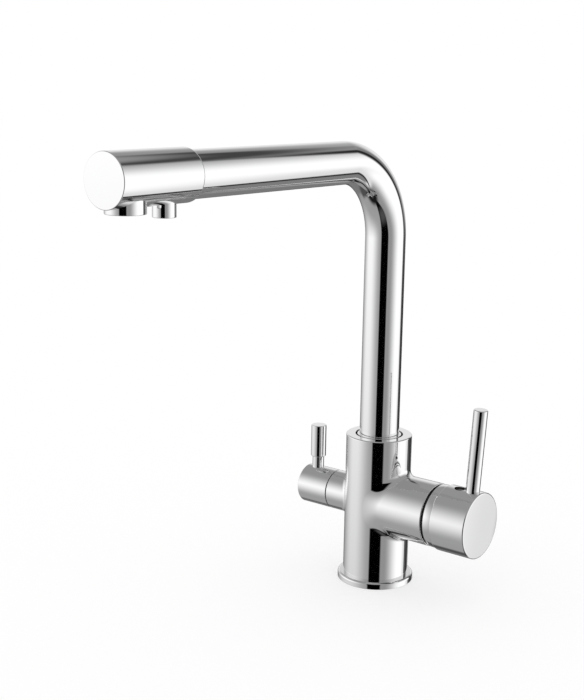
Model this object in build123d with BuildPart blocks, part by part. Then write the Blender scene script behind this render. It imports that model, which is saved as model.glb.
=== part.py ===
from build123d import *
import os
from math import cos, radians, sin, sqrt, tan

# Three-way filtered water tap. Millimetres, +Z up.
# The origin is the centre of the base, on the worktop plane. The spout points along -Y, the mixer
# handle is at +X and the filtered-water handle at -X.
#
# A brass body carries three valves' worth of water: hot and cold meet in a side-mounted mixer
# cartridge, and filtered water has its own quarter-turn valve and its own hose inside the spout, so
# it never touches the mixed water. Turned pieces are drawn as half profiles and revolved.

# ---------------------------------------------------------------- clearances
running_fit = 0.05  # radial gap of a piece that turns or slides in another
slip_fit = 0.03  # radial gap of a piece that is pushed, screwed or soldered into another
end_play = 0.1  # axial gap of a piece that turns between two faces

# ---------------------------------------------------------------- body and base
body_margin = 1.0  # body's radius over the mixer housing's
body_height = 106.3
body_top_edge = 0.5
base_ring_flare = 3.75  # base ring's radius over the body's
base_ring_height = 4.7
base_ring_edge = 0.8
base_foot_step = 2.0  # the body's foot is this much smaller in radius than the body
base_gasket_width = 2.6
base_gasket_depth = 1.4
base_gasket_inset = 1.1  # ring edge to gasket groove

# ---------------------------------------------------------------- connections under the body
inlet_circle_diameter = 24.0
inlet_core_diameter = 9.0  # core of an M10 x 1 hose thread
inlet_thread_depth = 12.0
inlet_passage_diameter = 6.4
stud_core_diameter = 6.8  # core of an M8 fixing stud
stud_thread_depth = 14.0

# ---------------------------------------------------------------- side valves, on one level
side_axis_height = 57.5
mixer_housing_wall = 3.0  # the nut's thread to the housing's outside
mixer_housing_reach = 49.9  # tap axis to the housing's end
mixer_housing_edge = 0.7
mixer_blend = 5.0
filter_stub_diameter = 28.0
filter_stub_reach = 35.3
filter_blend = 3.0

# ---------------------------------------------------------------- spout
spout_tube_diameter = 27.6
spout_tube_wall = 1.2
spout_axis_height = 296.9
spout_bend_radius = 51.8
spout_reach = 244.8  # tap axis to the main outlet
spout_head_step = 1.55  # head's radius over the tube's
spout_head_length = 61.5
spout_head_wall = 2.9
head_nose = 15.3  # main outlet to the head's front face
head_front_wall = 3.0
head_socket_depth = 9.5
head_edge = 0.5
head_back_edge = 1.3
outlet_spacing = 29.3
main_outlet_diameter = 22.7
main_outlet_stand = 2.85  # how far the main outlet's mouth stands below the head
filter_outlet_diameter = 13.4
filter_outlet_stand = 6.85
outlet_edge = 0.4

# ---------------------------------------------------------------- swivel in the body's top
o_ring_sides = 8
glide_ring_width = 1.2
collar_wall = 1.6
collar_height = 6.0
collar_bevel = 0.3
collar_gap_width = 1.2  # the dark ring round the collar
collar_gap_depth = 1.6
glide_ring_thickness = 1.6
foot_ring_thickness = 1.0
foot_ring_width = 3.0
insert_length = 19.5
insert_spigot_length = 14.0
insert_wall = 2.6  # in the tube
o_ring_section = 2.0
nipple_diameter = 6.0
nipple_bore = 3.6
nipple_height = 13.0
hose_diameter = 8.0
hose_bore = 5.6

# ---------------------------------------------------------------- mixer cartridge
cartridge_diameter = 35.0
cartridge_neck_step = 1.3
cartridge_wall = 1.7
mixer_bore_depth = 17.9  # housing end to the floor that the cartridge sits on
mixer_mouth_depth = 8.0
mixer_thread_wall = 1.5  # cartridge to the core of the nut's thread
cartridge_shoulder = 11.5  # floor to the shoulder that the nut presses on
cartridge_length = 26.0
cartridge_base_thickness = 3.5
port_seal_height = 1.2
port_seal_width = 1.5
port_radius = 8.5
port_diameter = 6.0
fixed_disc_thickness = 3.5
moving_disc_thickness = 3.2
moving_disc_gap = 0.7  # to the cartridge's wall, at the end of the disc's slide
slider_thickness = 3.6
slider_hub_diameter = 9.2
slider_hub_height = 2.2
rotor_flange_thickness = 2.9
rotor_journal_step = 3.5
pivot_depth = 22.0  # floor to the lever's pivot
pivot_pin_diameter = 3.0
lift_angle = 17.0  # the handle's full lift, in degrees
lever_arm = 8.0  # pivot to the ball that moves the slider
ball_diameter = 5.8
spindle_square = 8.0
spindle_length = 20.0  # pivot to the outer end
nut_reach = 7.1  # how far the nut stands out of the housing
cover_ring_start = 1.9  # housing end to the cover ring: the dark groove
groove_depth = 1.6  # housing's surface to the ring that fills the groove
cover_wall = 1.4
cover_reach = 9.4  # pivot to the cover ring's open end

# ---------------------------------------------------------------- mixer handle
cap_step = 0.9  # cap's radius over the mixer housing's
cap_rim_wall = 0.45  # the thin lip at the cap's open edge
cap_start = 7.9  # housing end to the cap
cap_length = 26.6
cap_dome_rise = 0.4
cap_edge = 0.6
cap_sphere_gap = 0.45  # cap to cover ring, the same at every lift
cap_floor_reach = 15.5  # pivot to the floor of the cap's socket
cap_pocket_floor = 3.8  # thickness left behind the face
cap_pocket_diameter = 31.0
cap_hub_diameter = 16.0
cap_hub_reach = 9.6  # pivot to the hub's open end
cap_rib_width = 11.0
mixer_lever_diameter = 9.6
mixer_lever_lean = 3.3  # degrees, outwards
mixer_lever_place = 17.75  # cap's open edge to where the rod's line meets the axis
mixer_lever_length = 80.2  # mixer axis to the rod's top
mixer_lever_seat = 3.4  # how deep the rod is let into the cap
mixer_lever_edge = 0.5
lever_stud_diameter = 5.0
plug_place = 9.5  # cap's open edge to the index plug
plug_diameter = 8.0
plug_depth = 1.8
plug_thickness = 1.1
plug_edge = 0.3
grub_screw_diameter = 5.0
grub_screw_length = 8.0
grub_hex = 2.5
grub_boss_wall = 1.0

# ---------------------------------------------------------------- filtered-water valve
filter_bore_diameter = 20.8
filter_bore_floor = 17.0  # tap axis to the valve seat
seat_seal_thickness = 2.0
seat_passage_diameter = 6.0
headwork_flange_diameter = 23.4
headwork_flange_seat = 2.0  # how deep the flange is let into the stub
headwork_flange_thickness = 4.0
headwork_neck_diameter = 15.0
headwork_neck_reach = 43.5
headwork_cage_bore = 15.2
headwork_cage_depth = 8.6
filter_disc_thickness = 2.5
filter_spindle_diameter = 7.9
filter_spindle_reach = 55.0
filter_driver_thickness = 3.3
filter_clip_thickness = 0.8
spline_count = 20
spline_depth = 0.35
filter_knob_start = 35.9
filter_knob_end = 61.2
filter_knob_diameter = 28.0
filter_knob_wall = 1.8
filter_knob_pocket = 10.6
filter_knob_edge = 0.9
filter_lever_place = 53.0
filter_lever_neck_diameter = 8.5
filter_lever_grip_diameter = 11.0
filter_lever_grip_start = 21.9  # valve axis to the grip
filter_lever_length = 45.3  # valve axis to the grip's top

# ---------------------------------------------------------------- outlets
aerator_thread_diameter = 18.5
aerator_height = 7.5
aerator_washer_thickness = 1.5
aerator_inner_diameter = 14.0
aerator_cell = 1.6
aerator_pitch = 2.0
aerator_rings = 3
filter_insert_diameter = 10.4
filter_insert_height = 5.0
filter_insert_cell = 1.4
filter_insert_pitch = 1.8
filter_insert_rings = 2
elbow_diameter = 9.0
elbow_spigot_length = 9.0

# ================================================================ worked-out places
cartridge_radius = cartridge_diameter / 2
cartridge_neck_diameter = cartridge_diameter - 2 * cartridge_neck_step
mixer_thread_diameter = cartridge_diameter + 2 * mixer_thread_wall
mixer_housing_diameter = mixer_thread_diameter + 2 * mixer_housing_wall
body_diameter = mixer_housing_diameter + 2 * body_margin
base_ring_diameter = body_diameter + 2 * base_ring_flare
cap_diameter = mixer_housing_diameter + 2 * cap_step
cover_sphere_radius = cap_diameter / 2 - cap_rim_wall - cap_sphere_gap
body_radius = body_diameter / 2
foot_radius = body_radius - base_foot_step
inlet_offset = inlet_circle_diameter / 2 * sin(radians(45))

mixer_floor = mixer_housing_reach - mixer_bore_depth
pivot_reach = mixer_floor + pivot_depth
cap_open_edge = mixer_housing_reach + cap_start
cap_face = cap_open_edge + cap_length
mixer_lever_reach = cap_open_edge + mixer_lever_place
plug_reach = cap_open_edge + plug_place

swivel_bore_diameter = spout_tube_diameter + 2 * glide_ring_width
collar_diameter = spout_tube_diameter + 2 * collar_wall
collar_recess_radius = collar_diameter / 2 + collar_gap_width
collar_seal_top = body_height - collar_gap_depth
collar_bottom = body_height - collar_height
glide_ring_bottom = collar_bottom - glide_ring_thickness
insert_top = glide_ring_bottom - end_play
insert_bottom = insert_top - insert_length
foot_ring_top = insert_bottom - end_play
chamber_floor = foot_ring_top - foot_ring_thickness
swivel_radius = swivel_bore_diameter / 2
tube_radius = spout_tube_diameter / 2
tube_bore_radius = tube_radius - spout_tube_wall

head_front = spout_reach + head_nose
head_back = head_front - spout_head_length
head_radius = tube_radius + spout_head_step
head_chamber_radius = head_radius - spout_head_wall
filter_outlet_reach = spout_reach - outlet_spacing
main_outlet_mouth = spout_axis_height - head_radius - main_outlet_stand
filter_outlet_mouth = spout_axis_height - head_radius - filter_outlet_stand
main_outlet_shelf = main_outlet_mouth + aerator_height + aerator_washer_thickness

# Half profiles are drawn as (distance along the axis, distance from it).
mixer_profile = Plane(origin=(0, 0, side_axis_height), x_dir=(1, 0, 0), z_dir=(0, -1, 0))
filter_profile = Plane(origin=(0, 0, side_axis_height), x_dir=(-1, 0, 0), z_dir=(0, 1, 0))
head_profile = Plane(origin=(0, 0, spout_axis_height), x_dir=(0, -1, 0), z_dir=(-1, 0, 0))
mixer_axis = Axis((0, 0, side_axis_height), (1, 0, 0))
filter_axis = Axis((0, 0, side_axis_height), (-1, 0, 0))
head_axis = Axis((0, 0, spout_axis_height), (0, -1, 0))
# Upright pieces are drawn as (distance from the axis, height) on Plane.XZ.


def across_mixer(reach):
    """The plane square to the mixer axis, its x along -Y and its y up."""
    return Plane(origin=(reach, 0, side_axis_height), x_dir=(0, 1, 0), z_dir=(1, 0, 0))


def across_filter(reach):
    """The plane square to the filter valve's axis, facing outwards."""
    return Plane(origin=(-reach, 0, side_axis_height), x_dir=(0, -1, 0), z_dir=(-1, 0, 0))


def outline(plane, *points):
    """A closed straight-sided face on a plane."""
    with BuildSketch(plane) as face:
        with BuildLine():
            Polyline(*points, close=True)
        make_face()
    return face.sketch


def honeycomb(plane, cell_width, pitch, rings):
    """Six-sided cells packed in rings round a centre cell."""
    row_step = pitch * sqrt(3) / 2
    cells = [
        ((column + row / 2) * pitch, row * row_step)
        for row in range(-rings, rings + 1)
        for column in range(-rings, rings + 1)
        if abs(column + row) <= rings
    ]
    with BuildSketch(plane) as comb:
        with Locations(*cells):
            RegularPolygon(cell_width / 2, 6, major_radius=False)
    return comb.sketch


# ================================================================ body
port_angles = {"mixed": 90, "hot": 210, "cold": 330}
port_places = {
    name: (port_radius * cos(radians(angle)), side_axis_height + port_radius * sin(radians(angle)))
    for name, angle in port_angles.items()
}
filter_link_height = chamber_floor - 5.0
filter_link_reach = filter_bore_floor + 2.5

with BuildPart() as body_casting:
    revolve(
        outline(
            Plane.XZ,
            (0, 0),
            (foot_radius, 0),
            (foot_radius, base_ring_height),
            (body_radius, base_ring_height),
            (body_radius, body_height),
            (0, body_height),
        ),
        axis=Axis.Z,
    )
    with BuildSketch(across_mixer(0)):
        Circle(mixer_housing_diameter / 2)
    extrude(amount=mixer_housing_reach)
    with BuildSketch(across_filter(0)):
        Circle(filter_stub_diameter / 2)
    extrude(amount=filter_stub_reach)
    junctions = body_casting.edges().filter_by(GeomType.BSPLINE)
    fillet(junctions.filter_by_position(Axis.X, 0, body_radius), radius=mixer_blend)
    fillet(
        body_casting.edges().filter_by(GeomType.BSPLINE).filter_by_position(Axis.X, -body_radius, -1),
        radius=filter_blend,
    )
    housing_rim = body_casting.edges().filter_by(GeomType.CIRCLE).sort_by(Axis.X)[-1]
    chamfer(housing_rim, length=mixer_housing_edge)
    top_rim = body_casting.edges().filter_by(GeomType.CIRCLE).sort_by(Axis.Z)[-1]
    chamfer(top_rim, length=body_top_edge)
    # the swivel's chamber, open at the top, with the collar's recess
    revolve(
        outline(
            Plane.XZ,
            (0, chamber_floor),
            (swivel_radius, chamber_floor),
            (swivel_radius, collar_bottom),
            (collar_recess_radius, collar_bottom),
            (collar_recess_radius, body_height - collar_bevel),
            (collar_recess_radius + collar_bevel, body_height),
            (0, body_height),
        ),
        axis=Axis.Z,
        mode=Mode.SUBTRACT,
    )
    # the mixer cartridge's bore and the nut's threaded mouth
    revolve(
        outline(
            mixer_profile,
            (mixer_floor, 0),
            (mixer_floor, cartridge_radius + running_fit),
            (mixer_housing_reach - mixer_mouth_depth, cartridge_radius + running_fit),
            (mixer_housing_reach - mixer_mouth_depth, mixer_thread_diameter / 2),
            (mixer_housing_reach, mixer_thread_diameter / 2),
            (mixer_housing_reach, 0),
        ),
        axis=mixer_axis,
        mode=Mode.SUBTRACT,
    )
    # the filter valve's bore and the seat of its flange
    revolve(
        outline(
            filter_profile,
            (filter_bore_floor, 0),
            (filter_bore_floor, filter_bore_diameter / 2),
            (filter_stub_reach - headwork_flange_seat, filter_bore_diameter / 2),
            (filter_stub_reach - headwork_flange_seat, headwork_flange_diameter / 2 + slip_fit),
            (filter_stub_reach, headwork_flange_diameter / 2 + slip_fit),
            (filter_stub_reach, 0),
        ),
        axis=filter_axis,
        mode=Mode.SUBTRACT,
    )
    # threaded inlets and the stud hole in the foot
    with BuildSketch(Plane.XY):
        with Locations((inlet_offset, -inlet_offset), (inlet_offset, inlet_offset), (-inlet_offset, inlet_offset)):
            Circle(inlet_core_diameter / 2)
    extrude(amount=inlet_thread_depth, mode=Mode.SUBTRACT)
    with BuildSketch(Plane.XY):
        with Locations((-inlet_offset, -inlet_offset)):
            Circle(stud_core_diameter / 2)
    extrude(amount=stud_thread_depth, mode=Mode.SUBTRACT)
    # water passages: hot and cold to the cartridge, mixed water up, filtered water to and from its valve
    hot_port, cold_port, mixed_port = port_places["hot"], port_places["cold"], port_places["mixed"]
    passages = [
        ((inlet_offset, -inlet_offset, 0), (inlet_offset, -inlet_offset, hot_port[1]), inlet_passage_diameter),
        ((mixer_floor, hot_port[0], hot_port[1]), (inlet_offset, hot_port[0], hot_port[1]), port_diameter),
        ((inlet_offset, inlet_offset, 0), (inlet_offset, inlet_offset, cold_port[1]), inlet_passage_diameter),
        ((mixer_floor, cold_port[0], cold_port[1]), (inlet_offset, cold_port[0], cold_port[1]), port_diameter),
        ((mixer_floor, 0, mixed_port[1]), (inlet_offset, 0, mixed_port[1]), port_diameter),
        ((inlet_offset, 0, mixed_port[1]), (inlet_offset, 0, chamber_floor), port_diameter),
        ((-inlet_offset, inlet_offset, 0), (-inlet_offset, inlet_offset, side_axis_height), seat_passage_diameter),
        ((-inlet_offset, inlet_offset, side_axis_height), (-inlet_offset, 0, side_axis_height), seat_passage_diameter),
        ((-inlet_offset, 0, side_axis_height), (-filter_bore_floor, 0, side_axis_height), seat_passage_diameter),
        ((-filter_link_reach, 0, side_axis_height), (-filter_link_reach, 0, filter_link_height), nipple_bore),
        ((-filter_link_reach, 0, filter_link_height), (0, 0, filter_link_height), nipple_bore),
        ((0, 0, filter_link_height), (0, 0, chamber_floor), nipple_diameter),
    ]
    for start, end, diameter in passages:
        run = Vector(end) - Vector(start)
        with BuildSketch(Plane(origin=start, z_dir=run)):
            Circle(diameter / 2)
        extrude(amount=run.length, mode=Mode.SUBTRACT)

with BuildPart() as base_ring:
    ring_radius = base_ring_diameter / 2
    gasket_outer = ring_radius - base_gasket_inset
    revolve(
        outline(
            Plane.XZ,
            (foot_radius + slip_fit, 0),
            (gasket_outer - base_gasket_width, 0),
            (gasket_outer - base_gasket_width, base_gasket_depth),
            (gasket_outer, base_gasket_depth),
            (gasket_outer, 0),
            (ring_radius, 0),
            (ring_radius, base_ring_height),
            (foot_radius + slip_fit, base_ring_height),
        ),
        axis=Axis.Z,
    )
    outer_rim = base_ring.edges().filter_by(GeomType.CIRCLE).group_by(Axis.Z)[-1].sort_by(SortBy.RADIUS)[-1]
    chamfer(outer_rim, length=base_ring_edge)

with BuildPart() as base_gasket:
    with BuildSketch(Plane.XY):
        Circle(gasket_outer - slip_fit)
        Circle(gasket_outer - base_gasket_width + slip_fit, mode=Mode.SUBTRACT)
    extrude(amount=base_gasket_depth)

# ================================================================ spout swivel
nipple_radius = nipple_diameter / 2
with BuildPart() as filter_nipple:
    revolve(
        outline(
            Plane.XZ,
            (nipple_bore / 2, filter_link_height + 2.4),
            (nipple_radius - slip_fit, filter_link_height + 2.4),
            (nipple_radius - slip_fit, chamber_floor),
            (nipple_radius + 1.5, chamber_floor),
            (nipple_radius + 1.5, chamber_floor + 2.0),
            (nipple_radius, chamber_floor + 2.0),
            (nipple_radius, chamber_floor + nipple_height),
            (nipple_bore / 2, chamber_floor + nipple_height),
        ),
        axis=Axis.Z,
    )

with BuildPart() as foot_ring:
    with BuildSketch(Plane.XY.offset(chamber_floor)):
        Circle(swivel_radius - running_fit)
        Circle(swivel_radius - foot_ring_width, mode=Mode.SUBTRACT)
    extrude(amount=foot_ring_thickness)

insert_radius = swivel_radius - running_fit
insert_bore_radius = tube_bore_radius - insert_wall
groove_radius = insert_radius - o_ring_section - running_fit
groove_half_width = o_ring_section / 2 + 0.2
o_ring_levels = (insert_bottom + 0.28 * insert_length, insert_bottom + 0.62 * insert_length)
with BuildPart() as spout_insert:
    revolve(
        outline(
            Plane.XZ,
            (insert_bore_radius, insert_bottom),
            (insert_radius, insert_bottom),
            (insert_radius, insert_top),
            (tube_bore_radius - slip_fit, insert_top),
            (tube_bore_radius - slip_fit, insert_top + insert_spigot_length),
            (insert_bore_radius, insert_top + insert_spigot_length),
        ),
        axis=Axis.Z,
    )
    for level in o_ring_levels:
        revolve(
            outline(
                Plane.XZ,
                (groove_radius, level - groove_half_width),
                (insert_radius, level - groove_half_width),
                (insert_radius, level + groove_half_width),
                (groove_radius, level + groove_half_width),
            ),
            axis=Axis.Z,
            mode=Mode.SUBTRACT,
        )

with BuildPart() as spout_o_rings:
    for level in o_ring_levels:
        with BuildSketch(Plane.XZ):
            with Locations((insert_radius - o_ring_section / 2, level)):
                RegularPolygon(o_ring_section / 2, o_ring_sides, major_radius=False, rotation=22.5)
        revolve(axis=Axis.Z)

with BuildPart() as glide_ring:
    with BuildSketch(Plane.XY.offset(glide_ring_bottom)):
        Circle(swivel_radius - slip_fit)
        Circle(tube_radius + running_fit, mode=Mode.SUBTRACT)
    extrude(amount=glide_ring_thickness)

with BuildPart() as collar_ring:
    collar_radius = collar_diameter / 2
    revolve(
        outline(
            Plane.XZ,
            (tube_radius + running_fit, collar_bottom),
            (collar_radius, collar_bottom),
            (collar_radius, body_height - collar_bevel),
            (collar_radius - collar_bevel, body_height),
            (tube_radius + running_fit, body_height),
        ),
        axis=Axis.Z,
    )

# the rubber ring that fills the gap round the collar and lies below its edge
with BuildPart() as collar_seal:
    with BuildSketch(Plane.XY.offset(collar_bottom)):
        Circle(collar_recess_radius - slip_fit)
        Circle(collar_radius + slip_fit, mode=Mode.SUBTRACT)
    extrude(amount=collar_seal_top - collar_bottom)

# ================================================================ spout
head_socket_end = head_back + head_socket_depth
with BuildPart() as spout_tube:
    with BuildLine():
        FilletPolyline(
            (0, 0, insert_top),
            (0, 0, spout_axis_height),
            (0, -head_socket_end, spout_axis_height),
            radius=spout_bend_radius,
        )
    with BuildSketch(Plane.XY.offset(insert_top)):
        Circle(tube_radius)
        Circle(tube_bore_radius, mode=Mode.SUBTRACT)
    sweep()

connector_bottom = chamber_floor + 2.0 + end_play
connector_top = chamber_floor + nipple_height + 6.0
elbow_radius = elbow_diameter / 2
hose_end = filter_outlet_reach - elbow_radius - 1.0
with BuildPart() as filter_connector:
    revolve(
        outline(
            Plane.XZ,
            (nipple_radius + running_fit, connector_bottom),
            (nipple_radius + 1.4, connector_bottom),
            (nipple_radius + 2.4, connector_bottom + 1.2),
            (nipple_radius + 2.4, connector_top - 5.0),
            (hose_bore / 2 - slip_fit, connector_top - 5.0),
            (hose_bore / 2 - slip_fit, connector_top + 6.0),
            (nipple_bore / 2, connector_top + 6.0),
            (nipple_bore / 2, connector_top - 5.5),
            (nipple_radius + running_fit, connector_top - 5.5),
        ),
        axis=Axis.Z,
    )

with BuildPart() as filter_hose:
    with BuildLine():
        FilletPolyline(
            (0, 0, connector_top - 5.0),
            (0, 0, spout_axis_height),
            (0, -hose_end, spout_axis_height),
            radius=spout_bend_radius,
        )
    with BuildSketch(Plane.XY.offset(connector_top - 5.0)):
        Circle(hose_diameter / 2)
        Circle(hose_bore / 2, mode=Mode.SUBTRACT)
    sweep()

boss_top = main_outlet_shelf + 1.5
filter_boss_top = spout_axis_height - elbow_radius - 1.5
with BuildPart() as spout_head:
    revolve(
        outline(
            head_profile,
            (head_back, 0),
            (head_back, head_radius - head_back_edge),
            (head_back + head_back_edge, head_radius),
            (head_front, head_radius),
            (head_front, 0),
        ),
        axis=head_axis,
    )
    front_rim = spout_head.edges().filter_by(GeomType.CIRCLE).sort_by(Axis.Y)[0]
    chamfer(front_rim, length=head_edge)
    # the two outlet spigots, down from the spout's axis
    for reach, mouth, diameter in (
        (spout_reach, main_outlet_mouth, main_outlet_diameter),
        (filter_outlet_reach, filter_outlet_mouth, filter_outlet_diameter),
    ):
        with BuildSketch(Plane.XY.offset(mouth)):
            with Locations((0, -reach)):
                Circle(diameter / 2)
        extrude(amount=spout_axis_height - mouth)
        mouth_rim = spout_head.edges().filter_by(GeomType.CIRCLE).sort_by(Axis.Z)[0]
        chamfer(mouth_rim, length=outlet_edge)
    # the soldered socket and the water chamber
    revolve(
        outline(
            head_profile,
            (head_back, 0),
            (head_back, tube_radius + slip_fit),
            (head_socket_end, tube_radius + slip_fit),
            (head_socket_end, head_chamber_radius),
            (head_front - head_front_wall, head_chamber_radius),
            (head_front - head_front_wall, 0),
        ),
        axis=head_axis,
        mode=Mode.SUBTRACT,
    )
    # bosses that stand up inside the chamber round each outlet
    for reach, mouth, top, diameter in (
        (spout_reach, main_outlet_mouth, boss_top, main_outlet_diameter),
        (filter_outlet_reach, filter_outlet_mouth, filter_boss_top, filter_outlet_diameter),
    ):
        with BuildSketch(Plane.XY.offset(mouth + 2 * outlet_edge)):
            with Locations((0, -reach)):
                Circle(diameter / 2)
        extrude(amount=top - mouth - 2 * outlet_edge)
    # the aerator's threaded seat, with its opening into the chamber
    with BuildSketch(Plane.XY.offset(main_outlet_mouth)):
        with Locations((0, -spout_reach)):
            Circle(aerator_thread_diameter / 2)
    extrude(amount=main_outlet_shelf - main_outlet_mouth, mode=Mode.SUBTRACT)
    with BuildSketch(Plane.XY.offset(main_outlet_mouth)):
        with Locations((0, -spout_reach)):
            Circle(aerator_inner_diameter / 2)
    extrude(amount=boss_top - main_outlet_mouth, mode=Mode.SUBTRACT)
    # the filtered outlet's seat and the bore that holds the elbow
    with BuildSketch(Plane.XY.offset(filter_outlet_mouth)):
        with Locations((0, -filter_outlet_reach)):
            Circle(filter_insert_diameter / 2)
    extrude(amount=filter_insert_height + 0.5, mode=Mode.SUBTRACT)
    with BuildSketch(Plane.XY.offset(filter_outlet_mouth)):
        with Locations((0, -filter_outlet_reach)):
            Circle(elbow_diameter / 2)
    extrude(amount=filter_boss_top - filter_outlet_mouth, mode=Mode.SUBTRACT)

elbow_plane = Plane(origin=(0, -filter_outlet_reach, 0), x_dir=(1, 0, 0), z_dir=(0, -1, 0))
elbow_axis = Axis((0, -filter_outlet_reach, 0), (0, 0, 1))
elbow_bottom = filter_outlet_mouth + filter_insert_height + 1.0
with BuildPart() as filter_elbow:
    revolve(
        outline(
            elbow_plane,
            (0, elbow_bottom),
            (elbow_radius - slip_fit, elbow_bottom),
            (elbow_radius - slip_fit, filter_boss_top),
            (elbow_radius + 1.0, filter_boss_top),
            (elbow_radius + 1.0, spout_axis_height + elbow_radius),
            (0, spout_axis_height + elbow_radius),
        ),
        axis=elbow_axis,
    )
    with BuildSketch(Plane(origin=(0, -filter_outlet_reach, spout_axis_height), z_dir=(0, 1, 0))):
        Circle(hose_bore / 2 - slip_fit)
    extrude(amount=elbow_radius + 1.0 + elbow_spigot_length)
    with BuildSketch(Plane(origin=(0, -filter_outlet_reach, spout_axis_height), z_dir=(0, 1, 0))):
        Circle(nipple_bore / 2)
    extrude(amount=elbow_radius + 1.0 + elbow_spigot_length, mode=Mode.SUBTRACT)
    with BuildSketch(Plane(origin=(0, -filter_outlet_reach, elbow_bottom), z_dir=(0, 0, 1))):
        Circle(nipple_diameter / 2)
    extrude(amount=spout_axis_height - elbow_bottom, mode=Mode.SUBTRACT)

# ================================================================ outlets
aerator_radius = aerator_thread_diameter / 2 - slip_fit
aerator_floor = 2.0
with BuildPart() as aerator_cage:
    with BuildSketch(Plane.XY.offset(main_outlet_mouth + 0.4)):
        with Locations((0, -spout_reach)):
            Circle(aerator_radius)
    extrude(amount=aerator_height - 0.4)
    with BuildSketch(Plane.XY.offset(main_outlet_mouth + 0.4 + aerator_floor)):
        with Locations((0, -spout_reach)):
            Circle(aerator_inner_diameter / 2 + 0.6)
    extrude(amount=aerator_height, mode=Mode.SUBTRACT)
    flow_plane = Plane(origin=(0, -spout_reach, main_outlet_mouth))
    extrude(
        honeycomb(flow_plane, aerator_cell, aerator_pitch, aerator_rings),
        amount=aerator_height,
        mode=Mode.SUBTRACT,
    )

with BuildPart() as aerator_core:
    core_bottom = main_outlet_mouth + 0.4 + aerator_floor
    with BuildSketch(Plane.XY.offset(core_bottom + 0.5)):
        with Locations((0, -spout_reach)):
            Circle(aerator_inner_diameter / 2 + 0.6 - slip_fit)
    extrude(amount=main_outlet_mouth + aerator_height - core_bottom - 0.5)
    with BuildSketch(Plane.XY.offset(core_bottom)):
        with Locations((0, -spout_reach)):
            with PolarLocations(aerator_inner_diameter / 2 - 1.6, 8):
                Circle(0.8)
    extrude(amount=aerator_height, mode=Mode.SUBTRACT)

with BuildPart() as aerator_washer:
    with BuildSketch(Plane.XY.offset(main_outlet_mouth + aerator_height)):
        with Locations((0, -spout_reach)):
            Circle(aerator_radius)
            Circle(aerator_inner_diameter / 2, mode=Mode.SUBTRACT)
    extrude(amount=aerator_washer_thickness)

with BuildPart() as filter_insert:
    with BuildSketch(Plane.XY.offset(filter_outlet_mouth + 0.5)):
        with Locations((0, -filter_outlet_reach)):
            Circle(filter_insert_diameter / 2 - slip_fit)
    extrude(amount=filter_insert_height)
    insert_plane = Plane(origin=(0, -filter_outlet_reach, filter_outlet_mouth))
    extrude(
        honeycomb(insert_plane, filter_insert_cell, filter_insert_pitch, filter_insert_rings),
        amount=filter_insert_height + 1.0,
        mode=Mode.SUBTRACT,
    )

# ================================================================ mixer cartridge
base_top = mixer_floor + cartridge_base_thickness
fixed_disc_top = base_top + fixed_disc_thickness
moving_disc_bottom = fixed_disc_top + running_fit
moving_disc_top = moving_disc_bottom + moving_disc_thickness
slider_top = moving_disc_top + slider_thickness
rotor_flange_bottom = slider_top + running_fit
rotor_flange_top = rotor_flange_bottom + rotor_flange_thickness
cavity_top = rotor_flange_top + end_play
cavity_radius = cartridge_neck_diameter / 2 - cartridge_wall
slider_travel = lever_arm * radians(lift_angle)
moving_disc_diameter = 2 * (cavity_radius - slider_travel - moving_disc_gap)
ball_reach = pivot_reach - lever_arm
journal_radius = cavity_radius - rotor_journal_step
journal_bore = journal_radius + running_fit

with BuildPart() as cartridge_base:
    with BuildSketch(across_mixer(mixer_floor)):
        Circle(cartridge_radius)
    extrude(amount=cartridge_base_thickness)
    with BuildSketch(across_mixer(mixer_floor)):
        with Locations((0, 0)):
            for across, up in port_places.values():
                with Locations((across, up - side_axis_height)):
                    Circle(port_diameter / 2)
    extrude(amount=cartridge_base_thickness, mode=Mode.SUBTRACT)
    with BuildSketch(across_mixer(mixer_floor)):
        for across, up in port_places.values():
            with Locations((across, up - side_axis_height)):
                Circle(port_diameter / 2 + port_seal_width)
    extrude(amount=port_seal_height, mode=Mode.SUBTRACT)

with BuildPart() as cartridge_seals:
    with BuildSketch(across_mixer(mixer_floor)):
        for across, up in port_places.values():
            with Locations((across, up - side_axis_height)):
                Circle(port_diameter / 2 + port_seal_width - slip_fit)
                Circle(port_diameter / 2 + slip_fit, mode=Mode.SUBTRACT)
    extrude(amount=port_seal_height)

with BuildPart() as mixer_fixed_disc:
    with BuildSketch(across_mixer(base_top)):
        Circle(cavity_radius - slip_fit)
        for name, (across, up) in port_places.items():
            with Locations(Location((across, up - side_axis_height), port_angles[name] + 90)):
                SlotOverall(port_diameter * 1.35, port_diameter * 0.7, mode=Mode.SUBTRACT)
    extrude(amount=fixed_disc_thickness)

with BuildPart() as mixer_moving_disc:
    with BuildSketch(across_mixer(moving_disc_bottom)):
        Circle(moving_disc_diameter / 2)
    extrude(amount=moving_disc_thickness)
    # the mixing pocket in the face that slides on the fixed disc
    with BuildSketch(across_mixer(moving_disc_bottom)):
        Circle(moving_disc_diameter / 2 - 2.4)
        Rectangle(moving_disc_diameter, 3.0, mode=Mode.SUBTRACT, align=(Align.CENTER, Align.MAX))
    extrude(amount=moving_disc_thickness / 2, mode=Mode.SUBTRACT)

with BuildPart() as mixer_slider:
    with BuildSketch(across_mixer(moving_disc_top)):
        Circle(moving_disc_diameter / 2)
        Rectangle(moving_disc_diameter - 5.6, moving_disc_diameter, mode=Mode.INTERSECT)
    extrude(amount=slider_thickness)
    with BuildSketch(across_mixer(slider_top)):
        Circle(slider_hub_diameter / 2)
    extrude(amount=slider_hub_height)
    with BuildSketch(across_mixer(slider_top + slider_hub_height)):
        Circle(ball_diameter / 2 + running_fit)
    extrude(amount=-(slider_hub_height + slider_thickness - 0.6), mode=Mode.SUBTRACT)

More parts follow.
